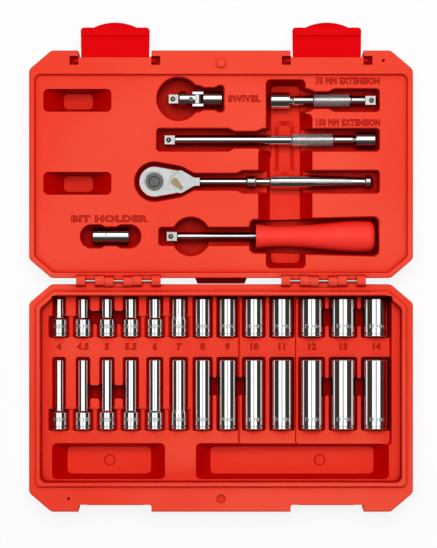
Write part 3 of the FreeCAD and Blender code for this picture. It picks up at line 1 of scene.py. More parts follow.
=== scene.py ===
# %% [markdown]
# # A socket wrench set in its open case
#
# The case lies open and flat. The lid, at the top of the picture, holds the ratchet and the drive tools.
# The base holds two rows of sockets and two bins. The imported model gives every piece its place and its
# joints. This script dresses those pieces: moulded red plastic, chrome plate, knurled bars and lettering
# pressed into the mould.

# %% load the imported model
import bpy
import bmesh
import json
import math
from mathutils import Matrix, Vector


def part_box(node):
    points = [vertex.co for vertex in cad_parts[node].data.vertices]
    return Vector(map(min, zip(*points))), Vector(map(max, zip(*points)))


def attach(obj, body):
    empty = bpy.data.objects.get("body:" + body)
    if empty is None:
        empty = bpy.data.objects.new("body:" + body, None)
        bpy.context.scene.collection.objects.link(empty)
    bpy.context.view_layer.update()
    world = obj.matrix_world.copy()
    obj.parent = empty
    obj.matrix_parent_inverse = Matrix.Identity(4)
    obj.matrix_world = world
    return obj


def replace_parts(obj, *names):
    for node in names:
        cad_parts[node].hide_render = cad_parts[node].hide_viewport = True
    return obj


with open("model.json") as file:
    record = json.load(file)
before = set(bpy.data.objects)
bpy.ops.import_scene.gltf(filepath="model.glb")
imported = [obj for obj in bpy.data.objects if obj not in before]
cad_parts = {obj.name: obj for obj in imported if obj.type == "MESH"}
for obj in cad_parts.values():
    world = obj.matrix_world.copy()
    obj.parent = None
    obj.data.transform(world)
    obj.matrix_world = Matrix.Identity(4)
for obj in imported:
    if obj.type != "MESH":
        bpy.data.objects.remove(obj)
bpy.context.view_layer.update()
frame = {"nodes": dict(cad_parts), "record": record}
nodes = frame["nodes"]

MM = 0.001
BODY_OF = {node: body for body, names in frame["record"]["behaviour"]["bodies"].items() for node in names}
SLOT_OF = {part["node"]: part["material_slot"] for part in frame["record"]["subparts"]}


# %% [markdown]
# Every finish is a small shader network. These helpers start a material with a Principled shader, add
# nodes to it and join them. Steady values are set straight on the sockets.

# %% shader helpers
def start(name, **values):
    """A new material, its nodes and its Principled shader, with some of the shader's values set."""
    mat = bpy.data.materials.new(name)
    mat.use_nodes = True
    tree = mat.node_tree
    shader = tree.nodes["Principled BSDF"]
    for key, value in values.items():
        shader.inputs[key.replace("_", " ")].default_value = value
    return mat, tree, shader


def add(tree, kind, **values):
    """A new node, with values set on the node itself or on its inputs."""
    node = tree.nodes.new(kind)
    for key, value in values.items():
        if hasattr(node, key):
            setattr(node, key, value)
        else:
            node.inputs[key.replace("_", " ")].default_value = value
    return node


def mixed(tree, share, first, second):
    """A blend of two colours, each a fixed colour or the output of a node."""
    node = add(tree, "ShaderNodeMix", data_type="RGBA")
    colours = [socket for socket in node.inputs if socket.type == "RGBA"]
    tree.links.new(share, node.inputs[0])
    for socket, value in zip(colours, (first, second)):
        if isinstance(value, (tuple, list)):
            socket.default_value = value
        else:
            tree.links.new(value, socket)
    return [socket for socket in node.outputs if socket.type == "RGBA"][0]


def maths(tree, operation, first, second=None):
    """The result of one sum on numbers or on the outputs of nodes."""
    node = add(tree, "ShaderNodeMath", operation=operation)
    for socket, value in zip(node.inputs, (first, second)):
        if isinstance(value, float):
            socket.default_value = value
        elif value is not None:
            tree.links.new(value, socket)
    return node.outputs[0]


print("shader helpers ready")


# %% [markdown]
# No real skin is quite even. A noise on the object's own coordinates makes small drifts of colour and
# gloss, and fine bumps. A painted picture could do this too, but it would have to be wrapped round each
# piece.

# %% pattern helpers
NOISE_LOW = 0.3
NOISE_HIGH = 0.7
EDGE_SAMPLES = 6


def noise(tree, scale, detail):
    """Noise on the object's own coordinates."""
    place = add(tree, "ShaderNodeTexCoord").outputs["Object"]
    texture = add(tree, "ShaderNodeTexNoise", Scale=scale, Detail=detail)
    tree.links.new(place, texture.inputs["Vector"])
    return texture.outputs["Fac"]


def ramp(tree, source, low, high, first, last):
    """A colour that goes from first to last while the source goes from low to high."""
    node = add(tree, "ShaderNodeValToRGB")
    band = node.color_ramp.elements
    band[0].position = low
    band[0].color = first
    band[1].position = high
    band[1].color = last
    tree.links.new(source, node.inputs["Fac"])
    return node.outputs["Color"]


def spread(tree, source, low, high):
    """Turns the middle range of a noise into values from low to high."""
    node = add(tree, "ShaderNodeMapRange")
    node.inputs["From Min"].default_value = NOISE_LOW
    node.inputs["From Max"].default_value = NOISE_HIGH
    node.inputs["To Min"].default_value = low
    node.inputs["To Max"].default_value = high
    tree.links.new(source, node.inputs["Value"])
    return node.outputs["Result"]


def ease(tree, source, low, high):
    """0 below low and 1 above high, with a soft step between; low may be the larger of the two."""
    node = add(tree, "ShaderNodeMapRange", interpolation_type="SMOOTHSTEP")
    node.inputs["From Min"].default_value = low
    node.inputs["From Max"].default_value = high
    tree.links.new(source, node.inputs["Value"])
    return node.outputs["Result"]


def relief(tree, shader, height, strength, depth, edge=0.0):
    """Fine bumps on a surface; edge is the radius by which the shading rounds its edges."""
    bump = add(tree, "ShaderNodeBump", Strength=strength, Distance=depth)
    tree.links.new(height, bump.inputs["Height"])
    if edge:
        soft = add(tree, "ShaderNodeBevel", samples=EDGE_SAMPLES, Radius=edge)
        tree.links.new(soft.outputs["Normal"], bump.inputs["Normal"])
    tree.links.new(bump.outputs["Normal"], shader.inputs["Normal"])


print("pattern helpers ready")


# %% [markdown]
# The case is blow moulded plastic. Its skin is satin, with a very fine grain from the mould. Red light
# that bounces about in a pocket loses its other colours, and little light gets down there, so the red goes
# from an orange red in the open to a pure dark red on the walls and floors of the pockets. This shade is
# painted into the base colour. One flat colour can't do that, and a painted mask would have to be redrawn
# for each pocket. Here an occlusion node measures how enclosed each point is, and the slope of the surface
# tells a wall from a floor, so the painted shade follows each pocket. Broad pale patches on the open skin
# are painted sheen. Blow moulding can't make a sharp edge, so the shader also rounds each edge by about
# half a millimetre.

# %% plastics
POCKET_SHADE_REACH = 22 * MM
WALL_SHADE_REACH = 60 * MM
GRAIN_DEPTH = 0.1 * MM
GRAIN_SCALE = 2600
GLOSS_SCALE = 40
DRIFT_SCALE = 60
BLOTCH_SCALE = 7
OPEN_SAMPLES = 8
# each pair is where a change of tint, of painted shade or painted sheen, starts and where it is complete
STEEP = (0.97, 0.75)
ENCLOSED = (0.99, 0.92)
POCKET_FLOOR_SHADE = (0.20, 0.52)
WALL_SHADE_SPAN = (0.15, 0.65)
OPEN_SKIN = (0.78, 0.95)


def openness(tree, reach, alone):
    """1 where nothing is near a point, less in a pocket; alone leaves out the other pieces."""
    node = add(tree, "ShaderNodeAmbientOcclusion", samples=OPEN_SAMPLES, only_local=alone, Distance=reach)
    return node.outputs["AO"]


def moulded(name, light, pale, wall, deep, rough, grain, edge, gloss):
    """Plastic, light with pale patches of painted sheen in the open, and painted shade: wall on steep
    sides and deep at the bottom of a pocket.
    """
    mat, tree, shader = start(name, Specular_IOR_Level=gloss)
    facing = add(tree, "ShaderNodeSeparateXYZ")
    tree.links.new(add(tree, "ShaderNodeNewGeometry").outputs["Normal"], facing.inputs[0])
    # painted shade: enclosed steep sides take the wall colour, enclosed floors the inner and deep colours
    steep = ease(tree, facing.outputs["Z"], *STEEP)
    free = openness(tree, POCKET_SHADE_REACH, False)
    enclosed = ease(tree, openness(tree, WALL_SHADE_REACH, True), *ENCLOSED)
    wall_shade_share = maths(tree, "MULTIPLY", steep, enclosed)
    drift = maths(tree, "ADD", free, spread(tree, noise(tree, DRIFT_SCALE, 3.0), -0.02, 0.02))
    inner = [0.7 * a + 0.3 * b for a, b in zip(light, wall)]
    base = mixed(tree, ease(tree, free, *POCKET_FLOOR_SHADE), deep, inner)
    # pale patches of painted sheen on the open skin
    skin_and_painted_sheen = ramp(tree, noise(tree, BLOTCH_SCALE, 2.0), 0.35, 0.65, light, pale)
    level = mixed(tree, ease(tree, drift, *OPEN_SKIN), base, skin_and_painted_sheen)
    side = mixed(tree, ease(tree, free, *WALL_SHADE_SPAN), deep, wall)
    tree.links.new(mixed(tree, wall_shade_share, level, side), shader.inputs["Base Color"])
    dull = spread(tree, noise(tree, GLOSS_SCALE, 4.0), rough - 0.05, rough + 0.07)
    tree.links.new(dull, shader.inputs["Roughness"])
    relief(tree, shader, noise(tree, GRAIN_SCALE, 2.0), grain, GRAIN_DEPTH, edge)
    return mat


# In each plastic, wall and deep are colours of painted shade, and pale is a colour of painted sheen.
case_red = moulded(
    "case plastic",
    light=(0.880, 0.050, 0.025, 1),
    pale=(0.915, 0.084, 0.046, 1),
    wall=(0.54, 0.0005, 0.0003, 1),
    deep=(0.32, 0.0004, 0.0002, 1),
    rough=0.45,
    grain=0.12,
    edge=0.7 * MM,
    gloss=0.08,
)
latch_red = moulded(
    "latch plastic",
    light=(0.76, 0.001, 0.003, 1),
    pale=(0.79, 0.002, 0.006, 1),
    wall=(0.66, 0.001, 0.002, 1),
    deep=(0.50, 0.001, 0.002, 1),
    rough=0.35,
    grain=0.04,
    edge=0.5 * MM,
    gloss=0.05,
)
grip_red = moulded(
    "grip plastic",
    light=(1.0, 0.038, 0.027, 1),
    pale=(1.0, 0.052, 0.038, 1),
    wall=(0.97, 0.020, 0.012, 1),
    deep=(0.80, 0.006, 0.004, 1),
    rough=0.36,
    grain=0.02,
    edge=0.4 * MM,
    gloss=0.25,
)
# dark red of painted shade, for pressed channels and rings
groove_shade_red = moulded(
    "pressed lettering",
    light=(0.34, 0.001, 0.001, 1),
    pale=(0.40, 0.002, 0.001, 1),
    wall=(0.30, 0.001, 0.001, 1),
    deep=(0.24, 0.001, 0.001, 1),
    rough=0.6,
    grain=0.05,
    edge=0.0,
    gloss=0.1,
)
print("plastics", case_red.name, latch_red.name, grip_red.name, groove_shade_red.name)


# %% [markdown]
# The tools are forged or turned steel with a chrome plate. Polished plate mirrors the room and the red
# case, with a slight waviness from the polishing wheel. The face of the ratchet is satin, its gear and
# button are dark phosphated steel, and the reversing lever has a warm brass tone. One function makes
# them all, from a colour, a roughness, the size of the waves and, for the knurl, a lower metallic value.

# %% metals
METAL_EDGE = 0.2 * MM
WAVE_STRENGTH = 0.25
POLISH_SCALE = 220


def plated(name, colour, rough, wave, depth, metal=1.0):
    """Metal with a slightly uneven gloss; wave is the scale of its waves and depth their height."""
    mat, tree, shader = start(name, Metallic=metal, Base_Color=colour)
    gloss = spread(tree, noise(tree, POLISH_SCALE, 3.0), rough * 0.8, rough * 1.3)
    tree.links.new(gloss, shader.inputs["Roughness"])
    relief(tree, shader, noise(tree, wave, 2.0), WAVE_STRENGTH, depth, METAL_EDGE)
    return mat


PLATE = (0.86, 0.87, 0.88, 1)
KNURL_TONE = (0.95, 0.95, 0.94, 1)
chrome = plated("chrome plate", PLATE, 0.055, 160, 0.01 * MM)
satin = plated("satin chrome", (0.60, 0.615, 0.61, 1), 0.36, 1500, 0.02 * MM)
steel = plated("ground steel", (0.62, 0.63, 0.64, 1), 0.22, 900, 0.02 * MM)
ground = plated("ground chrome", (0.60, 0.59, 0.56, 1), 0.26, 1200, 0.02 * MM)
dark_steel = plated("dark steel", (0.16, 0.155, 0.15, 1), 0.38, 1200, 0.03 * MM)
brass = plated("brass tone", (0.36, 0.28, 0.15, 1), 0.34, 900, 0.02 * MM)
rolled = plated("rolled knurl", KNURL_TONE, 0.26, 900, 0.02 * MM, 0.75)
# struck marks: rougher metal, and their darker grey is painted shade of the groove
stamped = plated("stamped mark", (0.50, 0.49, 0.47, 1), 0.5, 1200, 0.02 * MM)
metals = (chrome, satin, steel, ground, dark_steel, brass, rolled, stamped)
print("metals", ", ".join(metal.name for metal in metals))


# %% [markdown]
# Metal down in a pocket, or between the points of a knurl, mirrors little but shade. A render finds some
# of that by itself, but here the grooves stayed too bright beside the photograph. So the tint falls off
# where the occlusion node says that a point is enclosed.

# %% shade on metal
def shaded(mat, reach, low, high, dark, colour):
    """Tints a metal from dark where it is enclosed to its own colour in the open."""
    tree = mat.node_tree
    tone = ramp(tree, openness(tree, reach, False), low, high, dark, colour)
    tree.links.new(tone, tree.nodes["Principled BSDF"].inputs["Base Color"])


shaded(rolled, 1.2 * MM, 0.60, 0.90, (0.08, 0.06, 0.05, 1), KNURL_TONE)
shaded(chrome, 11 * MM, 0.30, 0.85, (0.18, 0.15, 0.13, 1), PLATE)
print("shade on", rolled.name, "and", chrome.name)


# %% [markdown]
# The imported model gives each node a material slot. A table from slot to finish dresses them all at once.
# The cross pins of the universal joint are the one exception: they show as dark ends in a bright fork.

# %% finishes of the model
FINISH = {
    "case_plastic": case_red,
    "latch_plastic": latch_red,
    "grip_plastic": grip_red,
    "chrome": chrome,
    "plain_steel": steel,
    "dark_steel": dark_steel,
}
for name, node in nodes.items():
    node.data.materials.clear()
    node.data.materials.append(dark_steel if name == "swivel_pins" else FINISH[SLOT_OF[name]])
print("finishes given to", len(nodes), "nodes")


# %% [markdown]
# A finished piece is one mesh at the origin, with its place in its vertices. It rides on the body of the
# node that it belongs to, so it moves with the joints. These helpers make such a piece and find places
# on a node.

# %% piece helpers
def piece(name, mesh, node, *materials):
    """A mesh as an object that rides on the body of a node and has its slot."""
    obj = bpy.data.objects.new(name, mesh)
    bpy.context.scene.collection.objects.link(obj)
    for mat in materials:
        mesh.materials.append(mat)
    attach(obj, BODY_OF[node])
    return obj


def evaluated(obj):
    """The mesh that an object's text or modifiers make."""
    return bpy.data.meshes.new_from_object(obj.evaluated_get(bpy.context.evaluated_depsgraph_get()))


def middle(node):
    """Middle of the box round a node."""
    low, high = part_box(node)
    return (Vector(low) + Vector(high)) / 2


print("middle of the base", [round(value, 4) for value in middle("case_base")])


# %% [markdown]
# A socket is turned on a lathe and then broached. Both can be one net of rings: each ring is a circle on
# the outside, a hexagon down the nose and a square up the drive end. The number of steps round a ring
# divides by six and by four, so the corners of both shapes fall on a vertex. A solid with holes cut in
# it would do too, but its faces would be uneven and their shading with them.

# %% rings of a socket
STEPS = 72


def hexagon(flats):
    """Reach of a hexagon in each direction, with a corner at the start of the turn."""
    def reach(turn):
        part = (turn + math.pi / 6) % (math.pi / 3) - math.pi / 6
        return flats / 2 / math.cos(part)
    return lambda turn: reach(turn + math.pi / 6)


def square(side):
    """Reach of a square in each direction, with a flat at the start of the turn."""
    def reach(turn):
        part = (turn + math.pi / 4) % (math.pi / 2) - math.pi / 4
        return side / 2 / math.cos(part)
    return reach


def circle(radius):
    """Reach of a circle, the same in each direction."""
    return lambda turn: radius


def between(first, second, share):
    """A ring that lies a share of the way from one ring to another."""
    return lambda turn: first(turn) * (1 - share) + second(turn) * share


def held(rings):
    """Adds a ring close to each end of a long wall, so that its shading stays straight."""
    close = 0.12 * MM
    long_wall = 0.7 * MM
    result = [rings[0]]
    for (near, first), (far, second) in zip(rings, rings[1:]):
        gap = abs(far - near)
        if gap > long_wall:
            for share in (close / gap, 1 - close / gap):
                result.append((near + (far - near) * share, between(first, second, share)))
        result.append((far, second))
    return result


def net(rings, centre, along, across, up):
    """Mesh from (distance, reach) rings; both ends are closed by a flat cap."""
    bm = bmesh.new()
    loops = []
    for distance, reach in held(rings):
        loop = []
        for i in range(STEPS):
            turn = math.tau * i / STEPS
            out = across * math.cos(turn) + up * math.sin(turn)
            loop.append(bm.verts.new(centre + along * distance + out * reach(turn)))
        loops.append(loop)
    for near, far in zip(loops, loops[1:]):
        for i in range(STEPS):
            j = (i + 1) % STEPS
            bm.faces.new((near[i], near[j], far[j], far[i]))
    bm.faces.new(list(reversed(loops[0])))
    bm.faces.new(loops[-1])
    bmesh.ops.recalc_face_normals(bm, faces=bm.faces)
    mesh = bpy.data.meshes.new("net")
    bm.to_mesh(mesh)
    bm.free()
    return mesh


print("a 10 mm hexagon reaches", round(hexagon(10 * MM)(0), 5), "m from its middle to a corner")


# %% [markdown]
# Letters on this object are outlines, pressed or struck into the surface, so they show as thin dark
# channels. A text outline with a small round bevel stands for such a channel, and its dark colour is
# painted shade of the channel. Several meshes can be joined into one, the first with one finish and all
# the others with a second.

# %% letters and joining
CAPITAL_SHARE = 0.70
LETTER_SPACE = 1.12
LETTER_SWELL = 0.03


def outline(text, height, thick):
    """The edges of some letters as thin round lines, centred on the origin."""
    curve = bpy.data.curves.new("letters", "FONT")
    curve.body = text
    curve.size = height / CAPITAL_SHARE
    curve.align_x = "CENTER"
    curve.align_y = "CENTER"
    curve.fill_mode = "NONE"
    curve.space_character = LETTER_SPACE
    curve.resolution_u = 3
    curve.offset = LETTER_SWELL * height
    curve.bevel_depth = thick
    curve.bevel_resolution = 1
    obj = bpy.data.objects.new("letters", curve)
    bpy.context.scene.collection.objects.link(obj)
    bpy.context.view_layer.update()
    mesh = evaluated(obj)
    bpy.data.objects.remove(obj)
    return mesh


def joined(name, meshes):
    """One mesh from several; the faces of the second and later meshes take the second finish."""
    bm = bmesh.new()
    for index, mesh in enumerate(meshes):
        before = len(bm.faces)
        bm.from_mesh(mesh)
        bm.faces.ensure_lookup_table()
        for face in bm.faces[before:]:
            face.material_index = min(index, 1)
    result = bpy.data.meshes.new(name)
    bm.to_mesh(result)
    bm.free()
    return result


print("a capital takes", CAPITAL_SHARE, "of a letter's size")


# %% [markdown]
# The outside of a socket steps from the drive end to the nose. Small sockets have a slim nose with a
# short shoulder, and a shallow groove runs round the drive end of each. The profile is listed from the
# bottom of the square, over the outside, to the bottom of the hexagon, so one list gives the whole
# socket.

# %% profile of a socket
SQUARE_DEPTH = 9.0 * MM
SQUARE_SIDE = 6.45 * MM
DRIVE_END = 14.1 * MM
HEX_PLAY = 0.1 * MM


def socket_rings(size, nose, drive, length, hex_depth):
    """Rings of a socket, as the distance from the drive end and the reach round the axis."""
    edge = 0.5 * MM
    fine = 0.18 * MM
    groove = 2.4 * MM
    groove_mouth = 0.5 * MM
    groove_floor = 0.2 * MM
    dip = 0.35 * MM
    least_step = 0.1 * MM
    flats = size * MM + HEX_PLAY
    outside = [
        (edge, square(SQUARE_SIDE)),
        (0.0, circle(drive - edge - fine)),
        (fine * 0.4, circle(drive - edge)),
        (edge, circle(drive - fine * 0.4)),
        (edge + fine, circle(drive)),
        (groove - groove_mouth, circle(drive)),
        (groove - groove_floor, circle(drive - dip)),
        (groove + groove_floor, circle(drive - dip)),
        (groove + groove_mouth, circle(drive)),
    ]
    if nose < drive - least_step:
        slope = 1.8 * MM
        outside += [
            (DRIVE_END - slope - fine, circle(drive)),
            (DRIVE_END - slope + fine, circle(drive - fine)),
            (DRIVE_END - fine * 2, circle(nose + fine)),
            (DRIVE_END + fine, circle(nose)),
        ]
    inside = [
        (length - edge - fine, circle(nose)),
        (length - edge, circle(nose - fine * 0.4)),
        (length - fine * 0.4, circle(nose - edge)),
        (length, circle(nose - edge - fine)),
        (length - edge * 0.6, hexagon(flats)),
        (length - hex_depth, hexagon(flats)),
    ]
    return [(SQUARE_DEPTH, square(SQUARE_SIDE))] + outside + inside


print("drive square of a socket", SQUARE_SIDE, "m wide and", SQUARE_DEPTH, "m deep")


# %% [markdown]
# Each socket has its size struck into the drive end. A flat text can be bent round a barrel with a
# modifier, but a few lines of trigonometry do the same and need no second object. The turned and
# broached mesh takes the place of the plain solid in the picture.

# %% sockets
SIZES = (4, 4.5, 5, 5.5, 6, 7, 8, 9, 10, 11, 12, 13, 14)
SHALLOW_HEX_DEPTH = 10.0 * MM
DEEP_HEX_DEPTH = 26.0 * MM
NOSE_START = 2.4 * MM
NOSE_SHARE = 1.2
SHARP_DEGREES = 32
STAMP_PLACE = 7.4 * MM
STAMP_HEIGHT = 2.6 * MM
STAMP_LINE = 0.14 * MM
STAMP_SINK = 0.07 * MM
# share of a round line's height that is left, so that it lies flatter
STAMP_FLAT = 0.6


def stamp(text, centre, radius):
    """A size struck into the drive end: a flat text bent round the barrel."""
    mesh = outline(text, STAMP_HEIGHT, STAMP_LINE)
    for v in mesh.vertices:
        turn = v.co.x / radius
        out = radius + v.co.z * STAMP_FLAT
        v.co = centre + Vector((math.sin(turn) * out, STAMP_PLACE + v.co.y, math.cos(turn) * out))
    return mesh


def nose_radius(size, drive):
    """The nose of a small socket is a thin wall round its hexagon; a large one has no step."""
    return min(drive, (NOSE_START + NOSE_SHARE * size * MM) / 2)


def make_socket(name, size, hex_depth):
    """A turned and broached socket with its struck size, in the place of the plain node."""
    low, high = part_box(name)
    low = Vector(low)
    high = Vector(high)
    drive = (high.x - low.x) / 2
    centre = Vector(((low.x + high.x) / 2, low.y, high.z - drive))
    rings = socket_rings(size, nose_radius(size, drive), drive, high.y - low.y, hex_depth)
    mesh = net(rings, centre, Vector((0, 1, 0)), Vector((1, 0, 0)), Vector((0, 0, 1)))
    mesh.shade_smooth()
    mesh.set_sharp_from_angle(angle=math.radians(SHARP_DEGREES))
    # the struck size is a thin grey line: rougher metal, darker by painted shade of the struck groove
    mark = stamp("%g MM" % size, centre, drive - STAMP_SINK)
    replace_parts(piece(name + "_turned", joined(name, [mesh, mark]), name, chrome, stamped), name)


def tail(size):
    """The end of a socket's name: its size, with the point as an underscore."""
    return str(size).replace(".", "_")


for size in SIZES:
    make_socket("shallow_socket_" + tail(size), size, SHALLOW_HEX_DEPTH)
    make_socket("deep_socket_" + tail(size), size, DEEP_HEX_DEPTH)
print("sockets", 2 * len(SIZES))


# %% [markdown]
# The size numbers and the names of the tools are pressed into the case, each beside its pocket. They
# could be cut into the solid, but hundreds of tiny faces would slow every later step. Here each word
# lies on the top skin of its half, at a height that a ray from above finds, as thin dark red lines of
# painted shade for the pressed channels.

# %% lettering
LETTER_HEIGHT = 4.3 * MM
LETTER_LINE = 0.26 * MM
# share of a round line's height that is left, so that it lies flatter
LETTER_FLAT = 0.5
NUMBER_ROW_Y = 36.4 * MM
TOOL_NAMES = (
    # words, middle X and Y, width, in millimetres
    ("75 MM EXTENSION", 90.8, 227.0, 46.0),
    ("150 MM EXTENSION", 90.8, 197.1, 46.0),
    ("SWIVEL", 16.6, 214.2, 23.2),
    ("BIT HOLDER", -80.5, 128.2, 55.0),
)


def lettering(text, x, y, z, width=None):
    """Outlined words at a place, drawn out to a width where one is given."""
    mesh = outline(text, LETTER_HEIGHT, LETTER_LINE)
    stretch = 1.0
    if width:
        span = [v.co.x for v in mesh.vertices]
        stretch = width / (max(span) - min(span))
    for v in mesh.vertices:
        v.co = Vector((v.co.x * stretch + x, v.co.y + y, v.co.z * LETTER_FLAT + z))
    return mesh


def surface(node, x, y):
    """Height of the top skin of a piece at a point."""
    place = nodes[node].matrix_world
    home = place.inverted()
    above = home @ Vector((x, y, 1.0))
    down = home.to_3x3() @ Vector((0, 0, -1))
    spot = nodes[node].ray_cast(above, down)[1]
    return (place @ spot).z


labels = []
for size in SIZES:
    x = middle("shallow_socket_" + tail(size)).x
    labels.append(lettering(str(size), x, NUMBER_ROW_Y, surface("case_base", x, NUMBER_ROW_Y)))
piece("size_numbers", joined("size_numbers", labels), "case_base", groove_shade_red, groove_shade_red)
words = []
for text, across, along, width in TOOL_NAMES:
    x = across * MM
    y = along * MM
    words.append(lettering(text, x, y, surface("case_lid", x, y), width * MM))
piece("tool_names", joined("tool_names", words), "case_lid", groove_shade_red, groove_shade_red)
print("labels", len(labels) + len(words))


# %% [markdown]
# The mould leaves a pressed ring in the floor of each bin, and the needle that blows the air in leaves a
# small mouth on the flange of each half. Both are flat dark rings with bevelled sides, whose dark red is
# painted shade of the ring's groove and of the mouth. A torus would be too round, so one function turns
# them from a section of four points.

# %% pressed rings
RING_RISE = 0.06 * MM
RING_STEPS = 48
BIN_RING = (3.7 * MM, 4.15 * MM)
NEEDLE_RING = (0.5 * MM, 1.2 * MM)
BIN_RING_X = (-80.5 * MM, 71.4 * MM)
BASE_NEEDLE = (-109.2 * MM, -72.0 * MM)
LID_NEEDLE = (116.2 * MM, 241.7 * MM)


def turned_ring(centre, section, steps):
    """Mesh of a section of (radius, height) points, turned about an upright axis."""
    bm = bmesh.new()
    loops = []
    for radius, height in section:
        loop = []
        for i in range(steps):
            turn = math.tau * i / steps
            out = Vector((math.cos(turn) * radius, math.sin(turn) * radius, height))
            loop.append(bm.verts.new(centre + out))
        loops.append(loop)
    for near, far in zip(loops, loops[1:]):
        for i in range(steps):
            j = (i + 1) % steps
            bm.faces.new((near[i], far[i], far[j], near[j]))
    mesh = bpy.data.meshes.new("ring")
    bm.to_mesh(mesh)
    bm.free()
    return mesh


def pressed_rings(name, node, places, ring):
    """Rings of an inner and an outer radius, each at the height of the skin beside it."""
    inner, outer = ring
    edge = 0.25 * (outer - inner)
    section = ((inner, 0.0), (inner + edge, RING_RISE), (outer - edge, RING_RISE), (outer, 0.0))
    beside = outer + 0.4 * MM
    meshes = []
    for x, y in places:
        centre = Vector((x, y, surface(node, x + beside, y)))
        meshes.append(turned_ring(centre, section, RING_STEPS))
    # the dark red of these rings is painted shade
    piece(name, joined(name, meshes), node, groove_shade_red, groove_shade_red)


OPENING_BOX = {opening["name"]: opening["box_m"] for opening in frame["record"]["physics"]["openings"]}
bin_low, bin_high = OPENING_BOX["left_bin"]
bin_y = (bin_low[1] + bin_high[1]) / 2
pressed_rings("bin_ring_shade", "case_base", [(x, bin_y) for x in BIN_RING_X], BIN_RING)
pressed_rings("base_needle_mouth_shade", "case_base", [BASE_NEEDLE], NEEDLE_RING)
pressed_rings("lid_needle_mouth_shade", "case_lid", [LID_NEEDLE], NEEDLE_RING)
print("pressed rings in the bins and round the needle holes")


# %% [markdown]
# The knurl on an extension bar is rolled: two sets of slanted grooves leave rows of small blunt
# pyramids. A Geometry Nodes tool repeats one pyramid round the bar and along it, each row half a step
# on. A bump in the finish would be lighter, but the outline of the bar would stay smooth.

# %% knurl tool
KNURL_TOP_RADIUS = 0.45 * MM
KNURL_HEIGHT = 0.42 * MM
KNURL_FILL = 0.98


def knurl_tool():
    """Pyramids round the X axis, in rows that start at the origin."""
    tree = bpy.data.node_groups.new("knurl", "GeometryNodeTree")
    interface = tree.interface
    interface.new_socket("Geometry", in_out="INPUT", socket_type="NodeSocketGeometry")
    interface.new_socket("Radius", in_out="INPUT", socket_type="NodeSocketFloat")
    interface.new_socket("Pitch", in_out="INPUT", socket_type="NodeSocketFloat")
    interface.new_socket("Round", in_out="INPUT", socket_type="NodeSocketInt")
    interface.new_socket("Rows", in_out="INPUT", socket_type="NodeSocketInt")
    interface.new_socket("Finish", in_out="INPUT", socket_type="NodeSocketMaterial")
    interface.new_socket("Geometry", in_out="OUTPUT", socket_type="NodeSocketGeometry")
    new = tree.nodes.new
    link = tree.links.new
    given = new("NodeGroupInput")
    out = new("NodeGroupOutput")

    def worked(operation, first, second=None):
        return maths(tree, operation, first, second)

    total = worked("MULTIPLY", given.outputs["Round"], given.outputs["Rows"])
    points = new("GeometryNodePoints")
    link(total, points.inputs["Count"])
    index = new("GeometryNodeInputIndex").outputs[0]
    row = worked("FLOOR", worked("DIVIDE", worked("ADD", index, 0.5), given.outputs["Round"]))
    step = worked("SUBTRACT", index, worked("MULTIPLY", row, given.outputs["Round"]))
    half = worked("MULTIPLY", worked("MODULO", row, 2.0), 0.5)
    share = worked("DIVIDE", worked("ADD", step, half), given.outputs["Round"])
    turn = worked("MULTIPLY", share, math.tau)
    place = new("ShaderNodeCombineXYZ")
    link(worked("MULTIPLY", worked("ADD", row, 0.5), given.outputs["Pitch"]), place.inputs["X"])
    link(worked("MULTIPLY", worked("COSINE", turn), given.outputs["Radius"]), place.inputs["Y"])
    link(worked("MULTIPLY", worked("SINE", turn), given.outputs["Radius"]), place.inputs["Z"])
    link(place.outputs[0], points.inputs["Position"])
    cone = new("GeometryNodeMeshCone")
    cone.inputs["Vertices"].default_value = 4
    cone.inputs["Radius Top"].default_value = KNURL_TOP_RADIUS
    link(worked("MULTIPLY", given.outputs["Pitch"], KNURL_FILL), cone.inputs["Radius Bottom"])
    cone.inputs["Depth"].default_value = KNURL_HEIGHT
    spin = new("ShaderNodeCombineXYZ")
    link(worked("SUBTRACT", turn, math.pi / 2), spin.inputs["X"])
    each = new("GeometryNodeInstanceOnPoints")
    link(points.outputs[0], each.inputs["Points"])
    link(cone.outputs["Mesh"], each.inputs["Instance"])
    link(spin.outputs[0], each.inputs["Rotation"])
    real = new("GeometryNodeRealizeInstances")
    link(each.outputs[0], real.inputs[0])
    paint = new("GeometryNodeSetMaterial")
    link(real.outputs[0], paint.inputs["Geometry"])
    link(given.outputs["Finish"], paint.inputs["Material"])
    link(paint.outputs[0], out.inputs[0])
    return tree


KNURL = knurl_tool()
print("knurl tool of", len(KNURL.nodes), "nodes")


# %% [markdown]
# Both bars are rolled with the same tool. The inputs of a modifier are set by the identifier of each
# socket, and the result is made a plain mesh, which then rides on its bar.

# %% knurls on the bars
KNURL_BASE = 4.0 * MM
KNURL_ROUND = 14
SHORT_KNURL = (31.3 * MM, 57.3 * MM)
LONG_KNURL = (30.3 * MM, 59.5 * MM)


def knurl(node, x0, x1):
    """Rows of pyramids on a bar between two places along X."""
    centre = middle(node)
    pitch = math.tau * KNURL_BASE / KNURL_ROUND / 2
    rows = int((x1 - x0) / pitch)
    host = bpy.data.objects.new("knurl", bpy.data.meshes.new("knurl"))
    bpy.context.scene.collection.objects.link(host)
    tool = host.modifiers.new("knurl", "NODES")
    tool.node_group = KNURL
    values = {
        "Radius": KNURL_BASE,
        "Pitch": pitch,
        "Round": KNURL_ROUND,
        "Rows": rows,
        "Finish": rolled,
    }
    for item in KNURL.interface.items_tree:
        if item.in_out == "INPUT" and item.name in values:
            tool[item.identifier] = values[item.name]
    bpy.context.view_layer.update()
    mesh = evaluated(host)
    bpy.data.objects.remove(host)
    for v in mesh.vertices:
        v.co += Vector((x0, centre.y, centre.z))
    piece(node + "_knurl", mesh, node)


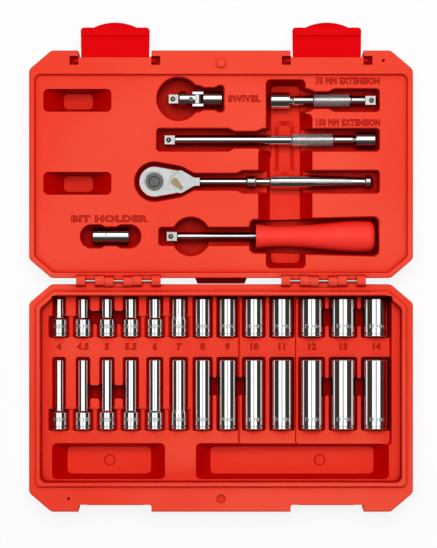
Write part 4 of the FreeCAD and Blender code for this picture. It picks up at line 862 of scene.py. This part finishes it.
short_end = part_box("short_extension")[0][0]
long_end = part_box("long_extension")[1][0]
knurl("short_extension", short_end + SHORT_KNURL[0], short_end + SHORT_KNURL[1])
knurl("long_extension", long_end - LONG_KNURL[1], long_end - LONG_KNURL[0])
print("knurls on both extension bars")


# %% [markdown]
# The ball in a drive square is held by a ring of metal that is struck inwards round it. The ring is a
# groove in shade, so a flat dark washer of painted shade lies on the face of the square, just under the
# top of the ball.

# %% ball rings in painted shade
BALL_RING_STEPS = 32
BALL_GROOVE_SHADE = (
    # radius, and height against the top of the ball
    (1.25 * MM, -0.50 * MM),
    (1.35 * MM, -0.44 * MM),
    (1.85 * MM, -0.44 * MM),
    (1.95 * MM, -0.52 * MM),
)
MALE_SQUARES = (
    ("short_extension", "short_extension_ball"),
    ("long_extension", "long_extension_ball"),
    ("swivel_drive_end", "swivel_ball"),
    ("spinner_shank", "spinner_ball"),
)
for node, ball in MALE_SQUARES:
    top = middle(ball)
    top.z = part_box(ball)[1][2]
    # a dark washer of painted shade for the groove round the ball
    piece(node + "_ball_groove_shade", turned_ring(top, BALL_GROOVE_SHADE, BALL_RING_STEPS), node, dark_steel)
print("rings round", len(MALE_SQUARES), "balls")


# %% [markdown]
# The ratchet is polished all over, and its face is then blasted to a satin. The drive squares of the
# other tools are ground flat, which leaves them duller than the turned barrels. A second mesh over each
# face could show this, but it is enough to give the faces that look straight up a second finish. The top
# of the reversing lever gets its brass tone in the same way.

# %% ratchet face and drive squares
LOOKS_UP = 0.98
RATCHET_FACE_DEPTH = 2.2 * MM
LEVER_FACE_DEPTH = 1.0 * MM
SQUARE_FACE_DEPTH = 0.8 * MM
SQUARE_FACE_REACH = 5 * MM


def face_finish(name, mat, lowest, first=-1.0, last=1.0):
    """Gives the faces that look up, above a height and between two places along X, another finish."""
    mesh = nodes[name].data
    mesh.materials.append(mat)
    place = nodes[name].matrix_world
    count = 0
    for face in mesh.polygons:
        up = (place.to_3x3() @ face.normal).z
        spot = place @ face.center
        if up > LOOKS_UP and spot.z > lowest and first < spot.x < last:
            face.material_index = len(mesh.materials) - 1
            count += 1
    return count


face_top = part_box("ratchet_body")[1][2]
print("satin faces", face_finish("ratchet_body", satin, face_top - RATCHET_FACE_DEPTH))
print("lever faces", face_finish("ratchet_reverse_lever", brass, face_top - LEVER_FACE_DEPTH))
for node, ball in MALE_SQUARES:
    spot = middle(ball).x
    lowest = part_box(ball)[1][2] - SQUARE_FACE_DEPTH
    first = spot - SQUARE_FACE_REACH
    last = spot + SQUARE_FACE_REACH
    print("square of", node, face_finish(node, ground, lowest, first, last))


# %% [markdown]
# A pale floor carries the object's shadow. A white floor under plain light would come out grey, and more
# light would bleach the red. So the camera sees the floor mostly as a steady white glow, mixed with a
# share of its lit surface, in which the shadow shows.

# %% floor
FLOOR_GLOW = 0.86
FLOOR_HALF = 3.0
FLOOR_PLACE = (0, 0.09, -0.3 * MM)


def stage_floor():
    bm = bmesh.new()
    bmesh.ops.create_grid(bm, x_segments=1, y_segments=1, size=FLOOR_HALF)
    mesh = bpy.data.meshes.new("floor")
    bm.to_mesh(mesh)
    bm.free()
    mat, tree, shader = start("floor", Roughness=0.9)
    drift = noise(tree, 3, 2.0)
    tint = ramp(tree, drift, NOISE_LOW, NOISE_HIGH, (0.93, 0.93, 0.93, 1), (0.95, 0.95, 0.95, 1))
    tree.links.new(tint, shader.inputs["Base Color"])
    glow = add(tree, "ShaderNodeEmission", Strength=1.0)
    camera_ray = add(tree, "ShaderNodeLightPath").outputs["Is Camera Ray"]
    mix = add(tree, "ShaderNodeMixShader")
    tree.links.new(maths(tree, "MULTIPLY", camera_ray, FLOOR_GLOW), mix.inputs["Fac"])
    tree.links.new(shader.outputs[0], mix.inputs[1])
    tree.links.new(glow.outputs[0], mix.inputs[2])
    tree.links.new(mix.outputs[0], tree.nodes["Material Output"].inputs["Surface"])
    mesh.materials.append(mat)
    obj = bpy.data.objects.new("floor", mesh)
    obj.location = FLOOR_PLACE
    bpy.context.scene.collection.objects.link(obj)


stage_floor()
print("floor glows to the camera by", FLOOR_GLOW)


# %% [markdown]
# Chrome shows what stands round it. A lit room could be modelled, but a world that only reflections see
# is quicker to make and leaves the light on the plastic alone. It is a dark room with one bright ceiling
# panel, which has a dark strip from its middle to its front edge where the camera and its stand would
# hang. A pale screen in each corner serves the views from the side. The camera sees white, and all other
# rays an even fill.

# %% what the chrome mirrors
PANEL = (1.5, 1.5, 1.5, 1)
STRIP_LEVEL = 0.16
FILL_LEVEL = 0.14
CORNER = (0.16, 0.155, 0.15, 1)
ROOM = (0.045, 0.036, 0.028, 1)
WHITE = (1, 1, 1, 1)
HORIZON = (0.02, 0.10)
CORNER_EDGE = (0.22, 0.36)
# soft edges of the panel and of the dark strip, as slants: metres aside or along for each metre up
PANEL_ASIDE = ((-0.74, -0.60), (0.74, 0.60))
PANEL_ALONG = ((-0.30, -0.20), (1.10, 0.85))
STRIP_ASIDE = ((-0.13, -0.09), (0.13, 0.09))
STRIP_ALONG = ((0.02, 0.01),)


def product(tree, *sources):
    """All sources multiplied together."""
    total = sources[0]
    for source in sources[1:]:
        total = maths(tree, "MULTIPLY", total, source)
    return total


def patch(tree, aside, along, aside_edges, along_edges):
    """1 inside a patch of the ceiling and 0 outside it, with soft edges."""
    edges = [ease(tree, aside, *edge) for edge in aside_edges]
    edges += [ease(tree, along, *edge) for edge in along_edges]
    return product(tree, *edges)


def room(tree):
    """Colour of the studio in each direction, as the chrome sees it."""
    way = add(tree, "ShaderNodeSeparateXYZ")
    tree.links.new(add(tree, "ShaderNodeTexCoord").outputs["Generated"], way.inputs[0])
    x, y, z = way.outputs
    aside = maths(tree, "DIVIDE", x, z)
    along = maths(tree, "DIVIDE", y, z)
    above = ease(tree, z, *HORIZON)
    panel = maths(tree, "MULTIPLY", above, patch(tree, aside, along, PANEL_ASIDE, PANEL_ALONG))
    shade = add(tree, "ShaderNodeMapRange")
    shade.inputs["To Min"].default_value = 1.0
    shade.inputs["To Max"].default_value = STRIP_LEVEL
    tree.links.new(patch(tree, aside, along, STRIP_ASIDE, STRIP_ALONG), shade.inputs["Value"])
    level = maths(tree, "SUBTRACT", 1.0, product(tree, z, z))
    diagonal = maths(tree, "ABSOLUTE", product(tree, x, y))
    corners = product(tree, above, ease(tree, maths(tree, "DIVIDE", diagonal, level), *CORNER_EDGE))
    walls = mixed(tree, corners, ROOM, CORNER)
    return mixed(tree, product(tree, panel, shade.outputs["Result"]), walls, PANEL)


def sky():
    """White to the camera, the room to reflections, and a soft fill to all other rays."""
    world = bpy.data.worlds.new("studio")
    bpy.context.scene.world = world
    world.use_nodes = True
    tree = world.node_tree
    tree.nodes.clear()
    link = tree.links.new
    ray = add(tree, "ShaderNodeLightPath")
    mirror = add(tree, "ShaderNodeBackground", Strength=1.0)
    link(room(tree), mirror.inputs["Color"])
    fill = add(tree, "ShaderNodeBackground", Strength=FILL_LEVEL, Color=WHITE)
    seen = add(tree, "ShaderNodeBackground", Strength=1.0, Color=WHITE)
    result = fill.outputs[0]
    for kind, source in (("Is Glossy Ray", mirror), ("Is Camera Ray", seen)):
        mix = add(tree, "ShaderNodeMixShader")
        link(ray.outputs[kind], mix.inputs["Fac"])
        link(result, mix.inputs[1])
        link(source.outputs[0], mix.inputs[2])
        result = mix.outputs[0]
    link(result, add(tree, "ShaderNodeOutputWorld").inputs["Surface"])


sky()
print("mirrored panel", PANEL[0], "corners", CORNER[0], "room", ROOM[0])


# %% [markdown]
# One large soft lamp hangs high up beyond the lid and shines down on it, so the shadows are short and
# fall towards the base. The chrome doesn't mirror the lamp itself, because the ceiling panel of the
# world stands for it. The camera hangs straight above with a long lens, so the walls of the pockets
# hardly lean outwards.

# %% lamp and camera
LAMP_PLACE = (0.0, 0.68, 2.2)
LAMP_AIM = (0, 0.24, 0)
LAMP_SIZE = (1.5, 1.3)
LAMP_POWER = 49
CAMERA_PLACE = (-1.8 * MM, 88.8 * MM, 2.027)
CAMERA_LENS = 183.5
CAMERA_SENSOR = 36
CAMERA_REACH = 20


def ceiling_lamp():
    lamp = bpy.data.lights.new("ceiling panel", "AREA")
    lamp.shape = "RECTANGLE"
    lamp.size = LAMP_SIZE[0]
    lamp.size_y = LAMP_SIZE[1]
    lamp.energy = LAMP_POWER
    obj = bpy.data.objects.new("ceiling panel", lamp)
    obj.location = LAMP_PLACE
    obj.rotation_euler = (Vector(LAMP_AIM) - Vector(LAMP_PLACE)).to_track_quat("-Z", "Y").to_euler()
    obj.visible_glossy = False
    obj.visible_camera = False
    bpy.context.scene.collection.objects.link(obj)


def overhead_camera():
    camera = bpy.data.cameras.new("camera")
    camera.lens = CAMERA_LENS
    camera.sensor_width = CAMERA_SENSOR
    camera.clip_end = CAMERA_REACH
    obj = bpy.data.objects.new("camera", camera)
    obj.location = CAMERA_PLACE
    bpy.context.scene.collection.objects.link(obj)
    bpy.context.scene.camera = obj


ceiling_lamp()
overhead_camera()
bpy.context.scene.view_settings.view_transform = "Standard"
print("lamp of", LAMP_POWER, "W and camera", CAMERA_PLACE[2], "m above the floor")
